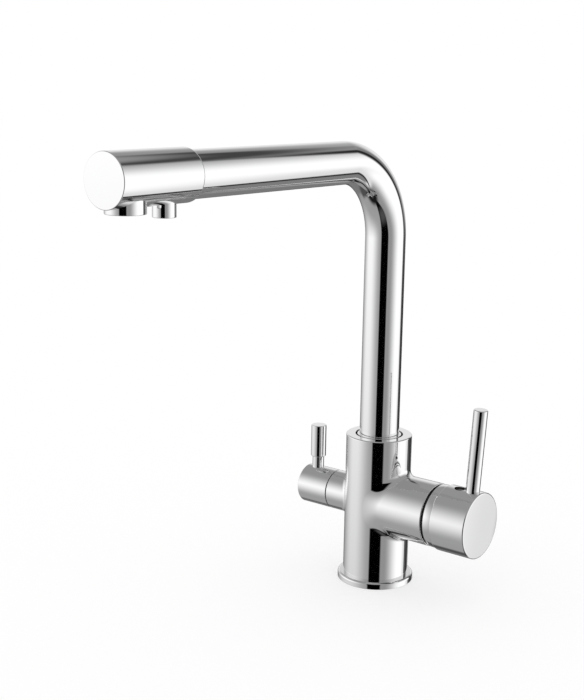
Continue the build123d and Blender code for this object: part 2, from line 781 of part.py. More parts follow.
slot_half_height = spindle_square / 2 / cos(radians(lift_angle)) + 5.0 * tan(radians(lift_angle)) + 0.3
guide_inner = (moving_disc_diameter - 5.6) / 2 + running_fit
with BuildPart() as mixer_rotor:
    with BuildSketch(across_mixer(rotor_flange_bottom)):
        Circle(cavity_radius - running_fit)
    extrude(amount=rotor_flange_thickness)
    with BuildSketch(across_mixer(rotor_flange_top)):
        Circle(journal_radius)
    extrude(amount=mixer_floor + cartridge_length + 0.3 - rotor_flange_top)
    # two guides that the slider runs between
    with BuildSketch(across_mixer(moving_disc_top + running_fit)):
        Circle(cavity_radius - running_fit)
        Rectangle(2 * guide_inner, 2 * cavity_radius, mode=Mode.SUBTRACT)
    extrude(amount=rotor_flange_bottom - moving_disc_top)
    # the slot that the spindle swings in, wider where the slider's hub moves
    with BuildSketch(across_mixer(rotor_flange_top)):
        Rectangle(spindle_square + 4 * running_fit, 2 * slot_half_height)
    extrude(amount=cartridge_length, mode=Mode.SUBTRACT)
    with BuildSketch(across_mixer(rotor_flange_bottom)):
        with Locations((0, slider_travel / 2)):
            SlotOverall(
                slider_hub_diameter + slider_travel + 0.8,
                slider_hub_diameter + 0.4,
                rotation=90,
            )
    extrude(amount=rotor_flange_thickness, mode=Mode.SUBTRACT)
    with BuildSketch(Plane(origin=(pivot_reach, -journal_radius, side_axis_height), z_dir=(0, 1, 0))):
        Circle(pivot_pin_diameter / 2 + slip_fit)
    extrude(amount=2 * journal_radius, mode=Mode.SUBTRACT)

pin_half_length = sqrt(journal_radius**2 - pivot_pin_diameter**2) - 0.1
with BuildPart() as mixer_pivot_pin:
    with BuildSketch(Plane(origin=(pivot_reach, -pin_half_length, side_axis_height), z_dir=(0, 1, 0))):
        Circle(pivot_pin_diameter / 2)
    extrude(amount=2 * pin_half_length)

shank_radius = 2.0
spindle_tail = 4.0  # pivot to the start of the square
with BuildPart() as mixer_spindle:
    with BuildSketch(across_mixer(pivot_reach - spindle_tail)):
        Rectangle(spindle_square, spindle_square)
    extrude(amount=spindle_tail + spindle_length)
    chamfer(mixer_spindle.faces().sort_by(Axis.X)[-1].edges(), length=0.6)
    with BuildSketch(across_mixer(ball_reach)):
        Circle(shank_radius)
    extrude(amount=pivot_reach - ball_reach)
    with Locations((ball_reach, 0, side_axis_height)):
        Sphere(ball_diameter / 2)
    with BuildSketch(Plane(origin=(pivot_reach, -spindle_square, side_axis_height), z_dir=(0, 1, 0))):
        Circle(pivot_pin_diameter / 2 + running_fit)
    extrude(amount=2 * spindle_square, mode=Mode.SUBTRACT)

neck_radius = cartridge_neck_diameter / 2
crown_radius = journal_bore + 2.4
with BuildPart() as cartridge_housing:
    revolve(
        outline(
            mixer_profile,
            (base_top, cavity_radius),
            (base_top, cartridge_radius),
            (mixer_floor + cartridge_shoulder, cartridge_radius),
            (mixer_floor + cartridge_shoulder, neck_radius),
            (cavity_top + 2.0, neck_radius),
            (cavity_top + 2.0 + neck_radius - crown_radius, crown_radius),
            (mixer_floor + cartridge_length, crown_radius),
            (mixer_floor + cartridge_length, journal_bore),
            (cavity_top, journal_bore),
            (cavity_top, cavity_radius),
        ),
        axis=mixer_axis,
    )

nut_inner = neck_radius + running_fit
nut_outer = mixer_thread_diameter / 2 - slip_fit
nut_end = mixer_housing_reach + nut_reach
nut_slot_width = 4.0
nut_slot_depth = 2.0
with BuildPart() as mixer_nut:
    revolve(
        outline(
            mixer_profile,
            (mixer_floor + cartridge_shoulder, nut_inner),
            (mixer_floor + cartridge_shoulder, nut_outer),
            (nut_end - 0.5, nut_outer),
            (nut_end, nut_outer - 0.5),
            (nut_end, nut_inner),
        ),
        axis=mixer_axis,
    )
    with BuildSketch(across_mixer(nut_end)):
        with PolarLocations(nut_outer, 4):
            Rectangle(nut_outer, nut_slot_width)
    extrude(amount=-nut_slot_depth, mode=Mode.SUBTRACT)

cover_start = mixer_housing_reach + cover_ring_start
# the dark ring between the housing and the cover ring
with BuildPart() as mixer_groove_ring:
    with BuildSketch(across_mixer(mixer_housing_reach + slip_fit)):
        Circle(mixer_housing_diameter / 2 - groove_depth)
        Circle(mixer_thread_diameter / 2 + slip_fit, mode=Mode.SUBTRACT)
    extrude(amount=cover_ring_start - 2 * slip_fit)

cover_end = pivot_reach + cover_reach


def sphere_height(reach, radius):
    """The height over the mixer axis of a sphere round the lever's pivot."""
    return sqrt(radius**2 - (reach - pivot_reach) ** 2)


cover_inner_radius = cover_sphere_radius - cover_wall
thread_end = nut_end - 0.5
with BuildPart() as mixer_cover_ring:
    with BuildSketch(mixer_profile):
        with BuildLine():
            Line(
                (cover_start, mixer_thread_diameter / 2),
                (cover_start, sphere_height(cover_start, cover_sphere_radius)),
            )
            ThreePointArc(
                (cover_start, sphere_height(cover_start, cover_sphere_radius)),
                (pivot_reach, cover_sphere_radius),
                (cover_end, sphere_height(cover_end, cover_sphere_radius)),
            )
            Line(
                (cover_end, sphere_height(cover_end, cover_sphere_radius)),
                (cover_end, sphere_height(cover_end, cover_inner_radius)),
            )
            ThreePointArc(
                (cover_end, sphere_height(cover_end, cover_inner_radius)),
                (
                    (cover_end + thread_end) / 2,
                    sphere_height((cover_end + thread_end) / 2, cover_inner_radius),
                ),
                (thread_end, sphere_height(thread_end, cover_inner_radius)),
            )
            Line(
                (thread_end, sphere_height(thread_end, cover_inner_radius)),
                (thread_end, mixer_thread_diameter / 2),
            )
            Line((thread_end, mixer_thread_diameter / 2), (cover_start, mixer_thread_diameter / 2))
        make_face()
    revolve(axis=mixer_axis)

# ================================================================ mixer handle
cap_radius = cap_diameter / 2
cap_sphere_radius = cover_sphere_radius + cap_sphere_gap
cap_floor = pivot_reach + cap_floor_reach
cap_hub_start = pivot_reach + cap_hub_reach
pocket_end = cap_face - cap_pocket_floor
lever_lean = radians(mixer_lever_lean)
lever_plane = Plane(
    origin=(mixer_lever_reach, 0, side_axis_height),
    x_dir=(0, 1, 0),
    z_dir=(sin(lever_lean), 0, cos(lever_lean)),
)
lever_seat = cap_radius - mixer_lever_seat
plug_floor = cap_radius - plug_depth
with BuildPart() as mixer_cap:
    revolve(
        outline(
            mixer_profile,
            (cap_open_edge, 0),
            (cap_open_edge, cap_radius - cap_edge),
            (cap_open_edge + cap_edge, cap_radius),
            (cap_face - cap_dome_rise - cap_edge, cap_radius),
            (cap_face - cap_dome_rise, cap_radius - cap_edge),
            (cap_face - cap_dome_rise / 3, cap_radius * 0.6),
            (cap_face, cap_radius * 0.2),
            (cap_face, 0),
        ),
        axis=mixer_axis,
    )
    # the round socket that swings over the cover ring
    with BuildSketch(mixer_profile):
        with BuildLine():
            Polyline(
                (cap_open_edge, sphere_height(cap_open_edge, cap_sphere_radius)),
                (cap_open_edge, 0),
                (cap_floor, 0),
                (cap_floor, sphere_height(cap_floor, cap_sphere_radius)),
            )
            ThreePointArc(
                (cap_floor, sphere_height(cap_floor, cap_sphere_radius)),
                (
                    (cap_floor + cap_open_edge) / 2,
                    sphere_height((cap_floor + cap_open_edge) / 2, cap_sphere_radius),
                ),
                (cap_open_edge, sphere_height(cap_open_edge, cap_sphere_radius)),
            )
        make_face()
    revolve(axis=mixer_axis, mode=Mode.SUBTRACT)
    # the pocket behind the face, with a rib that holds the lever and the screw
    with BuildSketch(across_mixer(cap_floor)):
        Circle(cap_pocket_diameter / 2)
        Rectangle(
            cap_rib_width, cap_radius, align=(Align.CENTER, Align.MIN), mode=Mode.SUBTRACT
        )
    extrude(amount=pocket_end - cap_floor, mode=Mode.SUBTRACT)
    with BuildSketch(across_mixer(cap_hub_start)):
        Circle(cap_hub_diameter / 2)
    extrude(amount=pocket_end + 0.5 - cap_hub_start)
    with BuildSketch(Plane(origin=(plug_reach, 0, side_axis_height))):
        Circle(grub_screw_diameter / 2 + grub_boss_wall)
    extrude(amount=plug_floor)
    # the spindle's square socket, the screw and the plug over it
    with BuildSketch(across_mixer(cap_hub_start)):
        Rectangle(spindle_square + 2 * slip_fit, spindle_square + 2 * slip_fit)
    extrude(amount=pivot_reach + spindle_length + 0.5 - cap_hub_start, mode=Mode.SUBTRACT)
    with BuildSketch(Plane(origin=(plug_reach, 0, side_axis_height))):
        Circle(grub_screw_diameter / 2)
    extrude(amount=cap_radius, mode=Mode.SUBTRACT)
    with BuildSketch(Plane(origin=(plug_reach, 0, side_axis_height + plug_floor))):
        Circle(plug_diameter / 2)
    extrude(amount=plug_depth + 1, mode=Mode.SUBTRACT)
    # the lever's seat and its threaded hole
    with BuildSketch(lever_plane.offset(lever_seat)):
        Circle(mixer_lever_diameter / 2 + slip_fit)
    extrude(amount=mixer_lever_seat + 2, mode=Mode.SUBTRACT)
    with BuildSketch(lever_plane.offset(cap_hub_diameter / 2 + 1)):
        Circle(lever_stud_diameter / 2)
    extrude(amount=lever_seat - cap_hub_diameter / 2 - 1, mode=Mode.SUBTRACT)

with BuildPart() as mixer_lever:
    with BuildSketch(lever_plane.offset(lever_seat)):
        Circle(mixer_lever_diameter / 2)
    extrude(amount=mixer_lever_length - lever_seat)
    chamfer(mixer_lever.faces().sort_by(Axis.Z)[-1].edges(), length=mixer_lever_edge)
    with BuildSketch(lever_plane.offset(cap_hub_diameter / 2 + 1.5)):
        Circle(lever_stud_diameter / 2 - slip_fit)
    extrude(amount=lever_seat - cap_hub_diameter / 2 - 1.5)

with BuildPart() as mixer_grub_screw:
    screw_bottom = side_axis_height + spindle_square / 2
    with BuildSketch(Plane(origin=(plug_reach, 0, screw_bottom))):
        Circle(grub_screw_diameter / 2 - slip_fit)
    extrude(amount=grub_screw_length)
    with BuildSketch(Plane(origin=(plug_reach, 0, screw_bottom + grub_screw_length))):
        RegularPolygon(grub_hex / 2, 6, major_radius=False)
    extrude(amount=-grub_hex, mode=Mode.SUBTRACT)

with BuildPart() as mixer_index_plug:
    with BuildSketch(Plane(origin=(plug_reach, 0, side_axis_height + plug_floor))):
        Circle(plug_diameter / 2 - slip_fit)
    extrude(amount=plug_thickness)
    chamfer(mixer_index_plug.edges().sort_by(Axis.Z)[-1], length=plug_edge)

# ================================================================ filtered-water valve
seat_top = filter_bore_floor + seat_seal_thickness
cage_end = seat_top + headwork_cage_depth
flange_start = filter_stub_reach - headwork_flange_seat
flange_end = flange_start + headwork_flange_thickness
spindle_radius = filter_spindle_diameter / 2
cage_radius = headwork_cage_bore / 2
thread_radius = filter_bore_diameter / 2 - slip_fit
stem_o_ring_section = 1.6
stem_o_ring_reach = flange_start - 1.0

with BuildPart() as filter_seat_seal:
    with BuildSketch(across_filter(filter_bore_floor)):
        Circle(cage_radius + 1.4)
        Circle(seat_passage_diameter / 2 + 1.0, mode=Mode.SUBTRACT)
    extrude(amount=seat_seal_thickness)

with BuildPart() as filter_headwork:
    revolve(
        outline(
            filter_profile,
            (seat_top, cage_radius),
            (seat_top, cage_radius + 1.4),
            (cage_end, cage_radius + 1.4),
            (cage_end, thread_radius),
            (flange_start, thread_radius),
            (flange_start, headwork_flange_diameter / 2),
            (flange_end, headwork_flange_diameter / 2),
            (flange_end, headwork_neck_diameter / 2),
            (headwork_neck_reach, headwork_neck_diameter / 2),
            (headwork_neck_reach, spindle_radius + running_fit),
            (cage_end, spindle_radius + running_fit),
            (cage_end, cage_radius),
        ),
        axis=filter_axis,
    )
    # side windows that let the water out of the cage
    with BuildSketch(Plane(origin=(-cage_end + 1.8, 0, side_axis_height), z_dir=(0, 0, 1))):
        Rectangle(3.0, 8.0)
    extrude(amount=filter_bore_diameter, both=True, mode=Mode.SUBTRACT)

disc_bottom = seat_top
with BuildPart() as filter_fixed_disc:
    with BuildSketch(across_filter(disc_bottom)):
        Circle(cage_radius - slip_fit)
        with PolarLocations(cage_radius * 0.55, 2):
            Circle(cage_radius * 0.32, mode=Mode.SUBTRACT)
    extrude(amount=filter_disc_thickness)

turning_disc_bottom = disc_bottom + filter_disc_thickness + running_fit
with BuildPart() as filter_moving_disc:
    with BuildSketch(across_filter(turning_disc_bottom)):
        Circle(cage_radius - 2 * running_fit)
        with PolarLocations(cage_radius * 0.55, 2, start_angle=90):
            Circle(cage_radius * 0.32, mode=Mode.SUBTRACT)
    extrude(amount=filter_disc_thickness)

driver_bottom = turning_disc_bottom + filter_disc_thickness
spline_start = headwork_neck_reach + filter_clip_thickness + 1.2
with BuildPart() as filter_spindle:
    revolve(
        outline(
            filter_profile,
            (driver_bottom, 0),
            (driver_bottom, cage_radius - 2 * running_fit),
            (cage_end - end_play, cage_radius - 2 * running_fit),
            (cage_end - end_play, spindle_radius),
            (stem_o_ring_reach - 1.0, spindle_radius),
            (stem_o_ring_reach - 1.0, spindle_radius - stem_o_ring_section + running_fit),
            (stem_o_ring_reach + 1.0, spindle_radius - stem_o_ring_section + running_fit),
            (stem_o_ring_reach + 1.0, spindle_radius),
            (headwork_neck_reach + end_play, spindle_radius),
            (headwork_neck_reach + end_play, spindle_radius - 0.8),
            (headwork_neck_reach + end_play + filter_clip_thickness, spindle_radius - 0.8),
            (headwork_neck_reach + end_play + filter_clip_thickness, spindle_radius),
            (filter_spindle_reach, spindle_radius),
            (filter_spindle_reach, 0),
        ),
        axis=filter_axis,
    )
    with BuildSketch(across_filter(spline_start)):
        with PolarLocations(spindle_radius, spline_count):
            Rectangle(2 * spline_depth, spindle_radius * 0.16)
    extrude(amount=filter_spindle_reach - spline_start, mode=Mode.SUBTRACT)
    # the driver is cut through, so that water leaves the turning disc sideways
    with BuildSketch(across_filter(driver_bottom)):
        Rectangle(cage_radius * 0.8, 2 * cage_radius)
    extrude(amount=filter_driver_thickness * 0.6, mode=Mode.SUBTRACT)

with BuildPart() as filter_stem_o_ring:
    with BuildSketch(filter_profile):
        with Locations((stem_o_ring_reach, spindle_radius - stem_o_ring_section / 2)):
            RegularPolygon(
                stem_o_ring_section / 2 - running_fit, o_ring_sides, major_radius=False, rotation=22.5
            )
    revolve(axis=filter_axis)

with BuildPart() as filter_clip:
    with BuildSketch(across_filter(headwork_neck_reach + end_play + slip_fit)):
        Circle(spindle_radius + 2.0)
        Circle(spindle_radius - 0.8 + slip_fit, mode=Mode.SUBTRACT)
        Rectangle(
            spindle_radius, spindle_radius * 2, align=(Align.CENTER, Align.MIN), mode=Mode.SUBTRACT
        )
    extrude(amount=filter_clip_thickness - 2 * slip_fit)

knob_radius = filter_knob_diameter / 2
knob_pocket_end = filter_knob_start + filter_knob_pocket
knob_lever_plane = Plane(origin=(-filter_lever_place, 0, side_axis_height))
knob_lever_seat = knob_radius - 2.0
with BuildPart() as filter_knob:
    revolve(
        outline(
            filter_profile,
            (filter_knob_start, knob_radius - filter_knob_wall),
            (filter_knob_start, knob_radius),
            (filter_knob_end, knob_radius),
            (filter_knob_end, 0),
            (filter_spindle_reach + 0.3, 0),
            (filter_spindle_reach + 0.3, spindle_radius + slip_fit),
            (knob_pocket_end, spindle_radius + slip_fit),
            (knob_pocket_end, knob_radius - filter_knob_wall),
        ),
        axis=filter_axis,
    )
    knob_rims = filter_knob.edges().filter_by(GeomType.CIRCLE)
    chamfer(knob_rims.sort_by(Axis.X)[0], length=filter_knob_edge)
    with BuildSketch(knob_lever_plane.offset(knob_lever_seat)):
        Circle(filter_lever_neck_diameter / 2 + slip_fit)
    extrude(amount=filter_lever_length, mode=Mode.SUBTRACT)
    with BuildSketch(knob_lever_plane):
        Circle(lever_stud_diameter / 2)
    extrude(amount=knob_lever_seat, mode=Mode.SUBTRACT)

lever_profile = Plane(origin=(-filter_lever_place, 0, side_axis_height), x_dir=(1, 0, 0), z_dir=(0, -1, 0))
grip_radius = filter_lever_grip_diameter / 2
with BuildPart() as filter_lever:
    revolve(
        outline(
            lever_profile,
            (0, spindle_radius + slip_fit),
            (lever_stud_diameter / 2 - slip_fit, spindle_radius + slip_fit),
            (lever_stud_diameter / 2 - slip_fit, knob_lever_seat),
            (filter_lever_neck_diameter / 2, knob_lever_seat),
            (filter_lever_neck_diameter / 2, filter_lever_grip_start),
            (grip_radius - 0.9, filter_lever_grip_start),
            (grip_radius, filter_lever_grip_start + 0.9),
            (grip_radius, filter_lever_length - 0.5),
            (grip_radius - 0.5, filter_lever_length),
            (0, filter_lever_length),
        ),
        axis=Axis((-filter_lever_place, 0, 0), (0, 0, 1)),
    )

# ================================================================ files
pieces = {
    "body_casting": body_casting,
    "base_ring": base_ring,
    "base_gasket": base_gasket,
    "collar_ring": collar_ring,
    "collar_seal": collar_seal,
    "glide_ring": glide_ring,
    "foot_ring": foot_ring,
    "filter_nipple": filter_nipple,
    "spout_insert": spout_insert,
    "spout_o_rings": spout_o_rings,
    "spout_tube": spout_tube,
    "spout_head": spout_head,
    "filter_connector": filter_connector,
    "filter_hose": filter_hose,
    "filter_elbow": filter_elbow,
    "aerator_cage": aerator_cage,
    "aerator_core": aerator_core,
    "aerator_washer": aerator_washer,
    "filter_insert": filter_insert,
    "cartridge_base": cartridge_base,
    "cartridge_seals": cartridge_seals,
    "cartridge_housing": cartridge_housing,
    "mixer_fixed_disc": mixer_fixed_disc,
    "mixer_moving_disc": mixer_moving_disc,
    "mixer_slider": mixer_slider,
    "mixer_rotor": mixer_rotor,
    "mixer_pivot_pin": mixer_pivot_pin,
    "mixer_spindle": mixer_spindle,
    "mixer_nut": mixer_nut,
    "mixer_groove_ring": mixer_groove_ring,
    "mixer_cover_ring": mixer_cover_ring,
    "mixer_cap": mixer_cap,
    "mixer_lever": mixer_lever,
    "mixer_grub_screw": mixer_grub_screw,
    "mixer_index_plug": mixer_index_plug,
    "filter_seat_seal": filter_seat_seal,
    "filter_headwork": filter_headwork,
    "filter_fixed_disc": filter_fixed_disc,
    "filter_moving_disc": filter_moving_disc,
    "filter_spindle": filter_spindle,
    "filter_stem_o_ring": filter_stem_o_ring,
    "filter_clip": filter_clip,
    "filter_knob": filter_knob,
    "filter_lever": filter_lever,
}
os.makedirs("parts", exist_ok=True)
for name, piece in pieces.items():
    piece.part.label = name
    export_step(piece.part, f"parts/{name}.step")
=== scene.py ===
"""Three-way filtered water tap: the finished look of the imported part.

The tap's visible metalwork is made again here as finely turned shells with rounded edges and exact
normals, so that the polish reflects cleanly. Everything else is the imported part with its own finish.
Lengths in the classes are millimetres; a mesh gets its metres when it is made.
"""

import logging
import math
from abc import ABC, abstractmethod
from dataclasses import dataclass
from enum import Enum
from functools import partial
from typing import Callable, ClassVar, Iterable, Sequence

import bpy
import numpy as np
from mathutils import Matrix, Vector

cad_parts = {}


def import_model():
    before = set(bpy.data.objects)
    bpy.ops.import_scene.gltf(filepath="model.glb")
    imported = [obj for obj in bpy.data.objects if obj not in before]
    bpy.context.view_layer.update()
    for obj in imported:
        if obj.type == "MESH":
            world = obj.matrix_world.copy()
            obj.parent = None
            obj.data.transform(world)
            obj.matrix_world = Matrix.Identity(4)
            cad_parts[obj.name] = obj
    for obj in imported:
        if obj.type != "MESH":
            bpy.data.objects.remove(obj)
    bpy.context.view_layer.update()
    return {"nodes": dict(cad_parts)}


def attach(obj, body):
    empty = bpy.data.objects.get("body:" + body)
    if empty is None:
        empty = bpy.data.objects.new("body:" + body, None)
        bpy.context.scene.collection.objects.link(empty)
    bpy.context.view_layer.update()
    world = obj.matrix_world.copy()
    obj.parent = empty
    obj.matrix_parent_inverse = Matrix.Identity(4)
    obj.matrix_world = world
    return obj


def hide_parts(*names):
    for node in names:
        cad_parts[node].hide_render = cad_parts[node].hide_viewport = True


log = logging.getLogger("tap")
MM = 0.001
Point = tuple[float, float]
Place = tuple[float, float, float]


# ---------------------------------------------------------------- node helper
class Tree:
    """A short way to add and join nodes in one node tree."""

    def __init__(self, tree: bpy.types.NodeTree) -> None:
        """Empties the tree.

        Args:
            tree: the node tree to fill.
        """
        self.tree = tree
        tree.nodes.clear()

    def add(self, kind: str, settings: dict | None = None, **inputs: object) -> bpy.types.Node:
        """Adds a node.

        Args:
            kind: Blender's node type name.
            settings: properties set on the node itself.
            **inputs: values or sockets by input name, with spaces written as underscores. Inputs that
                share one name are given by number: i0, i1, i2.

        Returns:
            The new node.
        """
        node = self.tree.nodes.new(kind)
        for name, value in (settings or {}).items():
            setattr(node, name, value)
        for name, value in inputs.items():
            key = int(name[1:]) if name[0] == "i" and name[1:].isdigit() else name.replace("_", " ")
            self.put(node.inputs[key], value)
        return node

    def put(self, socket: bpy.types.NodeSocket, value: object) -> None:
        """Links a socket to another socket, or sets its value.

        Args:
            socket: the input.
            value: a number, a colour, an output socket, or a node whose first output is meant.
        """
        if isinstance(value, bpy.types.Node):
            value = value.outputs[0]
        if isinstance(value, bpy.types.NodeSocket):
            self.tree.links.new(value, socket)
        else:
            socket.default_value = value

    def math(self, operation: str, a: object, b: object = 0.0) -> bpy.types.Node:
        """Adds a maths node on one or two values."""
        return self.add("ShaderNodeMath", {"operation": operation}, i0=a, i1=b)

    def mix(self, share: object, a: object, b: object) -> bpy.types.Node:
        """Adds a node that goes from one number to another."""
        return self.add("ShaderNodeMix", {"data_type": "FLOAT"}, Factor=share, A=a, B=b)


# ---------------------------------------------------------------- finishes
@dataclass(frozen=True)
class Finish:
    """A surface finish with a fine grain, whose roughness wanders a little.

    Attributes:
        name: the material's name.
        colour: base colour, linear.
        metallic: 1 for metal.
        roughness: middle value of the roughness.
        roughness_spread: how far the roughness wanders over the surface.
        patch: size of the patches in which it wanders, in millimetres.
        grain: size of the surface's fine grain, in millimetres.
        grain_depth: depth of that grain, in millimetres.
        ior: index of refraction of a surface that isn't metal.
        noise_range: the noise values that stand for the lowest and the highest roughness.
    """

    name: str
    colour: tuple[float, float, float]
    metallic: float
    roughness: float
    roughness_spread: float
    patch: float
    grain: float
    grain_depth: float
    ior: float = 1.5
    noise_range: ClassVar[Point] = (0.3, 0.7)

    def build(self) -> bpy.types.Material:
        """Makes the material.

        Returns:
            The new material.
        """
        material = bpy.data.materials.new(self.name)
        material.use_nodes = True
        tree = Tree(material.node_tree)
        shader = tree.add(
            "ShaderNodeBsdfPrincipled",
            Base_Color=(*self.colour, 1.0),
            Metallic=self.metallic,
            Roughness=self.roughness,
            IOR=self.ior,
        )
        place = tree.add("ShaderNodeTexCoord").outputs["Object"]
        self.wander(tree, shader, place)
        self.bump(tree, shader, place)
        out = tree.add("ShaderNodeOutputMaterial")
        tree.put(out.inputs["Surface"], shader)
        return material

    def wander(self, tree: Tree, shader: bpy.types.Node, place: bpy.types.NodeSocket) -> None:
        """Lets the roughness wander over the surface.

        Args:
            tree: the material's nodes.
            shader: its shader.
            place: the piece's own coordinates.
        """
        noise = tree.add("ShaderNodeTexNoise", Vector=place, Scale=1 / (self.patch * MM), Detail=4.0)
        spread = tree.add(
            "ShaderNodeMapRange",
            Value=noise,
            From_Min=self.noise_range[0],
            From_Max=self.noise_range[1],
            To_Min=self.roughness - self.roughness_spread,
            To_Max=self.roughness + self.roughness_spread,
        )
        tree.put(shader.inputs["Roughness"], spread)

    def bump(self, tree: Tree, shader: bpy.types.Node, place: bpy.types.NodeSocket) -> None:
        """Adds the fine grain as a bump.

        Args:
            tree: the material's nodes.
            shader: its shader.
            place: the piece's own coordinates.
        """
        grain = tree.add("ShaderNodeTexNoise", Vector=place, Scale=1 / (self.grain * MM), Detail=2.0)
        bump = tree.add("ShaderNodeBump", Height=grain, Strength=1.0, Distance=self.grain_depth * MM)
        tree.put(shader.inputs["Normal"], bump)


class Kit(Enum):
    """The finishes of the tap's pieces."""

    CHROME = Finish("polished_chrome", (0.90, 0.90, 0.905), 1.0, 0.035, 0.012, 30.0, 14.0, 0.0006)
    # Unplated metal of bores, recesses and hole walls, darker than such metal is: the dark colour is painted
    # shade.
    UNPLATED_PAINTED_SHADE = Finish("unplated_metal_painted_shade", (0.20, 0.18, 0.15), 1.0, 0.42, 0.08, 6.0, 0.35, 0.006)
    BRASS = Finish("machined_brass", (0.80, 0.58, 0.28), 1.0, 0.28, 0.06, 8.0, 0.5, 0.004)
    STEEL = Finish("stainless_steel", (0.62, 0.61, 0.59), 1.0, 0.25, 0.06, 6.0, 0.4, 0.003)
    CERAMIC = Finish("ceramic", (0.83, 0.80, 0.74), 0.0, 0.3, 0.04, 5.0, 0.3, 0.001, 1.7)
    WHITE_PLASTIC = Finish("white_plastic", (0.80, 0.80, 0.78), 0.0, 0.38, 0.05, 5.0, 0.4, 0.003)
    GREY_PLASTIC = Finish("grey_plastic", (0.22, 0.225, 0.23), 0.0, 0.42, 0.05, 5.0, 0.4, 0.004)
    DARK_PLASTIC = Finish("dark_plastic", (0.022, 0.023, 0.025), 0.0, 0.32, 0.05, 5.0, 0.4, 0.004)
    HOSE = Finish("hose", (0.72, 0.74, 0.74), 0.0, 0.35, 0.05, 9.0, 0.8, 0.004)
    RUBBER = Finish("rubber", (0.018, 0.018, 0.019), 0.0, 0.62, 0.08, 4.0, 0.3, 0.008)


# ---------------------------------------------------------------- axes, angles and profiles
@dataclass(frozen=True)
class Line:
    """An axis that a piece is turned about.

    Attributes:
        origin: its zero point.
        along: its direction.
        up: where angle zero points, square to it. Angles turn from there towards along x up.
    """

    origin: Place
    along: Place
    up: Place

    def spread(self, along: np.ndarray, up: np.ndarray, side: np.ndarray) -> np.ndarray:
        """Puts components along, up and to the side together as directions in space.

        Args:
            along: components along the axis.
            up: components towards angle zero.
            side: components towards a quarter of a turn.

        Returns:
            The directions, in an array whose last axis has three values.
        """
        axis, zero = np.array(self.along, float), np.array(self.up, float)
        across = np.cross(axis, zero)
        parts = np.broadcast_arrays(along, up, side)
        return parts[0][..., None] * axis + parts[1][..., None] * zero + parts[2][..., None] * across

    def place(self, along: np.ndarray, up: np.ndarray, side: np.ndarray) -> np.ndarray:
        """Puts components along, up and to the side together as places in space."""
        return self.spread(along, up, side) + np.array(self.origin, float)


def full_turn(pieces: int) -> np.ndarray:
    """Gives the angles of a full turn in equal pieces, closed."""
    return np.linspace(0.0, 2 * math.pi, pieces + 1)


def rest_of_turn(half: float, pieces: int) -> np.ndarray:
    """Gives the angles from one side of a window round to its other side."""
    return np.linspace(half, 2 * math.pi - half, pieces + 1)


def with_window(half: float, columns: int, pieces: int) -> np.ndarray:
    """Gives a closed full turn whose first part matches a window's columns."""
    return np.concatenate((np.linspace(-half, half, columns + 1), rest_of_turn(half, pieces)[1:]))


Run = np.ndarray  # rows of (along, radius, normal along, normal outwards)
LEAD = 3.0  # length of a side that past_side and up_to_side draw and drop again


def rounded(*corners: Sequence[float], steps: int = 5) -> list[Run]:
    """Draws a half profile of straight lines with rounded corners.

    Args:
        *corners: (along, radius) or (along, radius, rounding), with the metal to the right of the way.
        steps: pieces that a rounding is made of.

    Returns:
        Runs that are smooth in themselves and meet at sharp edges.
    """
    spots = [np.array(corner[:2], float) for corner in corners]
    rounds = [corner[2] if len(corner) > 2 else 0.0 for corner in corners]
    ways = [(b - a) / np.linalg.norm(b - a) for a, b in zip(spots, spots[1:])]
    normals = [np.array((-way[1], way[0])) for way in ways]
    runs, rows, start = [], [], spots[0]
    for k, (way, normal) in enumerate(zip(ways, normals)):
        end, rounding = spots[k + 1], rounds[k + 1]
        if k + 1 == len(ways) or rounding == 0:
            runs.append(np.array(rows + [(*start, *normal), (*end, *normal)]))
            rows, start = [], end
            continue
        following = ways[k + 1]
        turn = math.atan2(way[0] * following[1] - way[1] * following[0], way @ following)
        back = rounding * abs(math.tan(turn / 2))
        end = end - way * back
        rows += [(*start, *normal), (*end, *normal)]
        sign = 1.0 if turn < 0 else -1.0
        centre = end - sign * rounding * normal
        for j in range(1, steps):
            cos, sin = math.cos(turn * j / steps), math.sin(turn * j / steps)
            swung = np.array((normal[0] * cos - normal[1] * sin, normal[0] * sin + normal[1] * cos))
            rows.append((*(centre + sign * rounding * swung), *swung))
        start = spots[k + 1] + following * back
    return runs


def past_side(*corners: Sequence[float]) -> list[Run]:
    """Draws what follows a straight side, from the corner at the side's end, without the side itself.

    Args:
        *corners: the corners as rounded() takes them, the first one at the side's end.

    Returns:
        The runs, whose first point is the side's last.
    """
    along, radius = corners[0][:2]
    runs = rounded((along - LEAD, radius), *corners)
    return [runs[0][1:], *runs[1:]]


def up_to_side(*corners: Sequence[float]) -> list[Run]:
    """Draws what comes before a straight side, up to the corner at its start, without the side itself.

    Args:
        *corners: the corners as rounded() takes them, the last one at the side's start.

    Returns:
        The runs, whose last point is the side's first.
    """
    along, radius = corners[-1][:2]
    runs = rounded(*corners, (along + LEAD, radius))
    return [*runs[:-1], runs[-1][:-1]]


def arc(centre: Point, radius: float, first: float, last: float, steps: int, hollow: bool = False) -> Run:
    """Draws part of a circle as one run.

    Args:
        centre: (along, radius) of its centre.
        radius: its radius.
        first: its first point's angle from the axis direction, in degrees.
        last: its last point's angle.
        steps: pieces that it is made of.
        hollow: True where the surface faces the centre.

    Returns:
        The run.
    """
    angles = np.radians(np.linspace(first, last, steps + 1))
    along, out = np.cos(angles), np.sin(angles)
    sign = -1.0 if hollow else 1.0
    return np.column_stack((centre[0] + radius * along, centre[1] + radius * out, sign * along, sign * out))


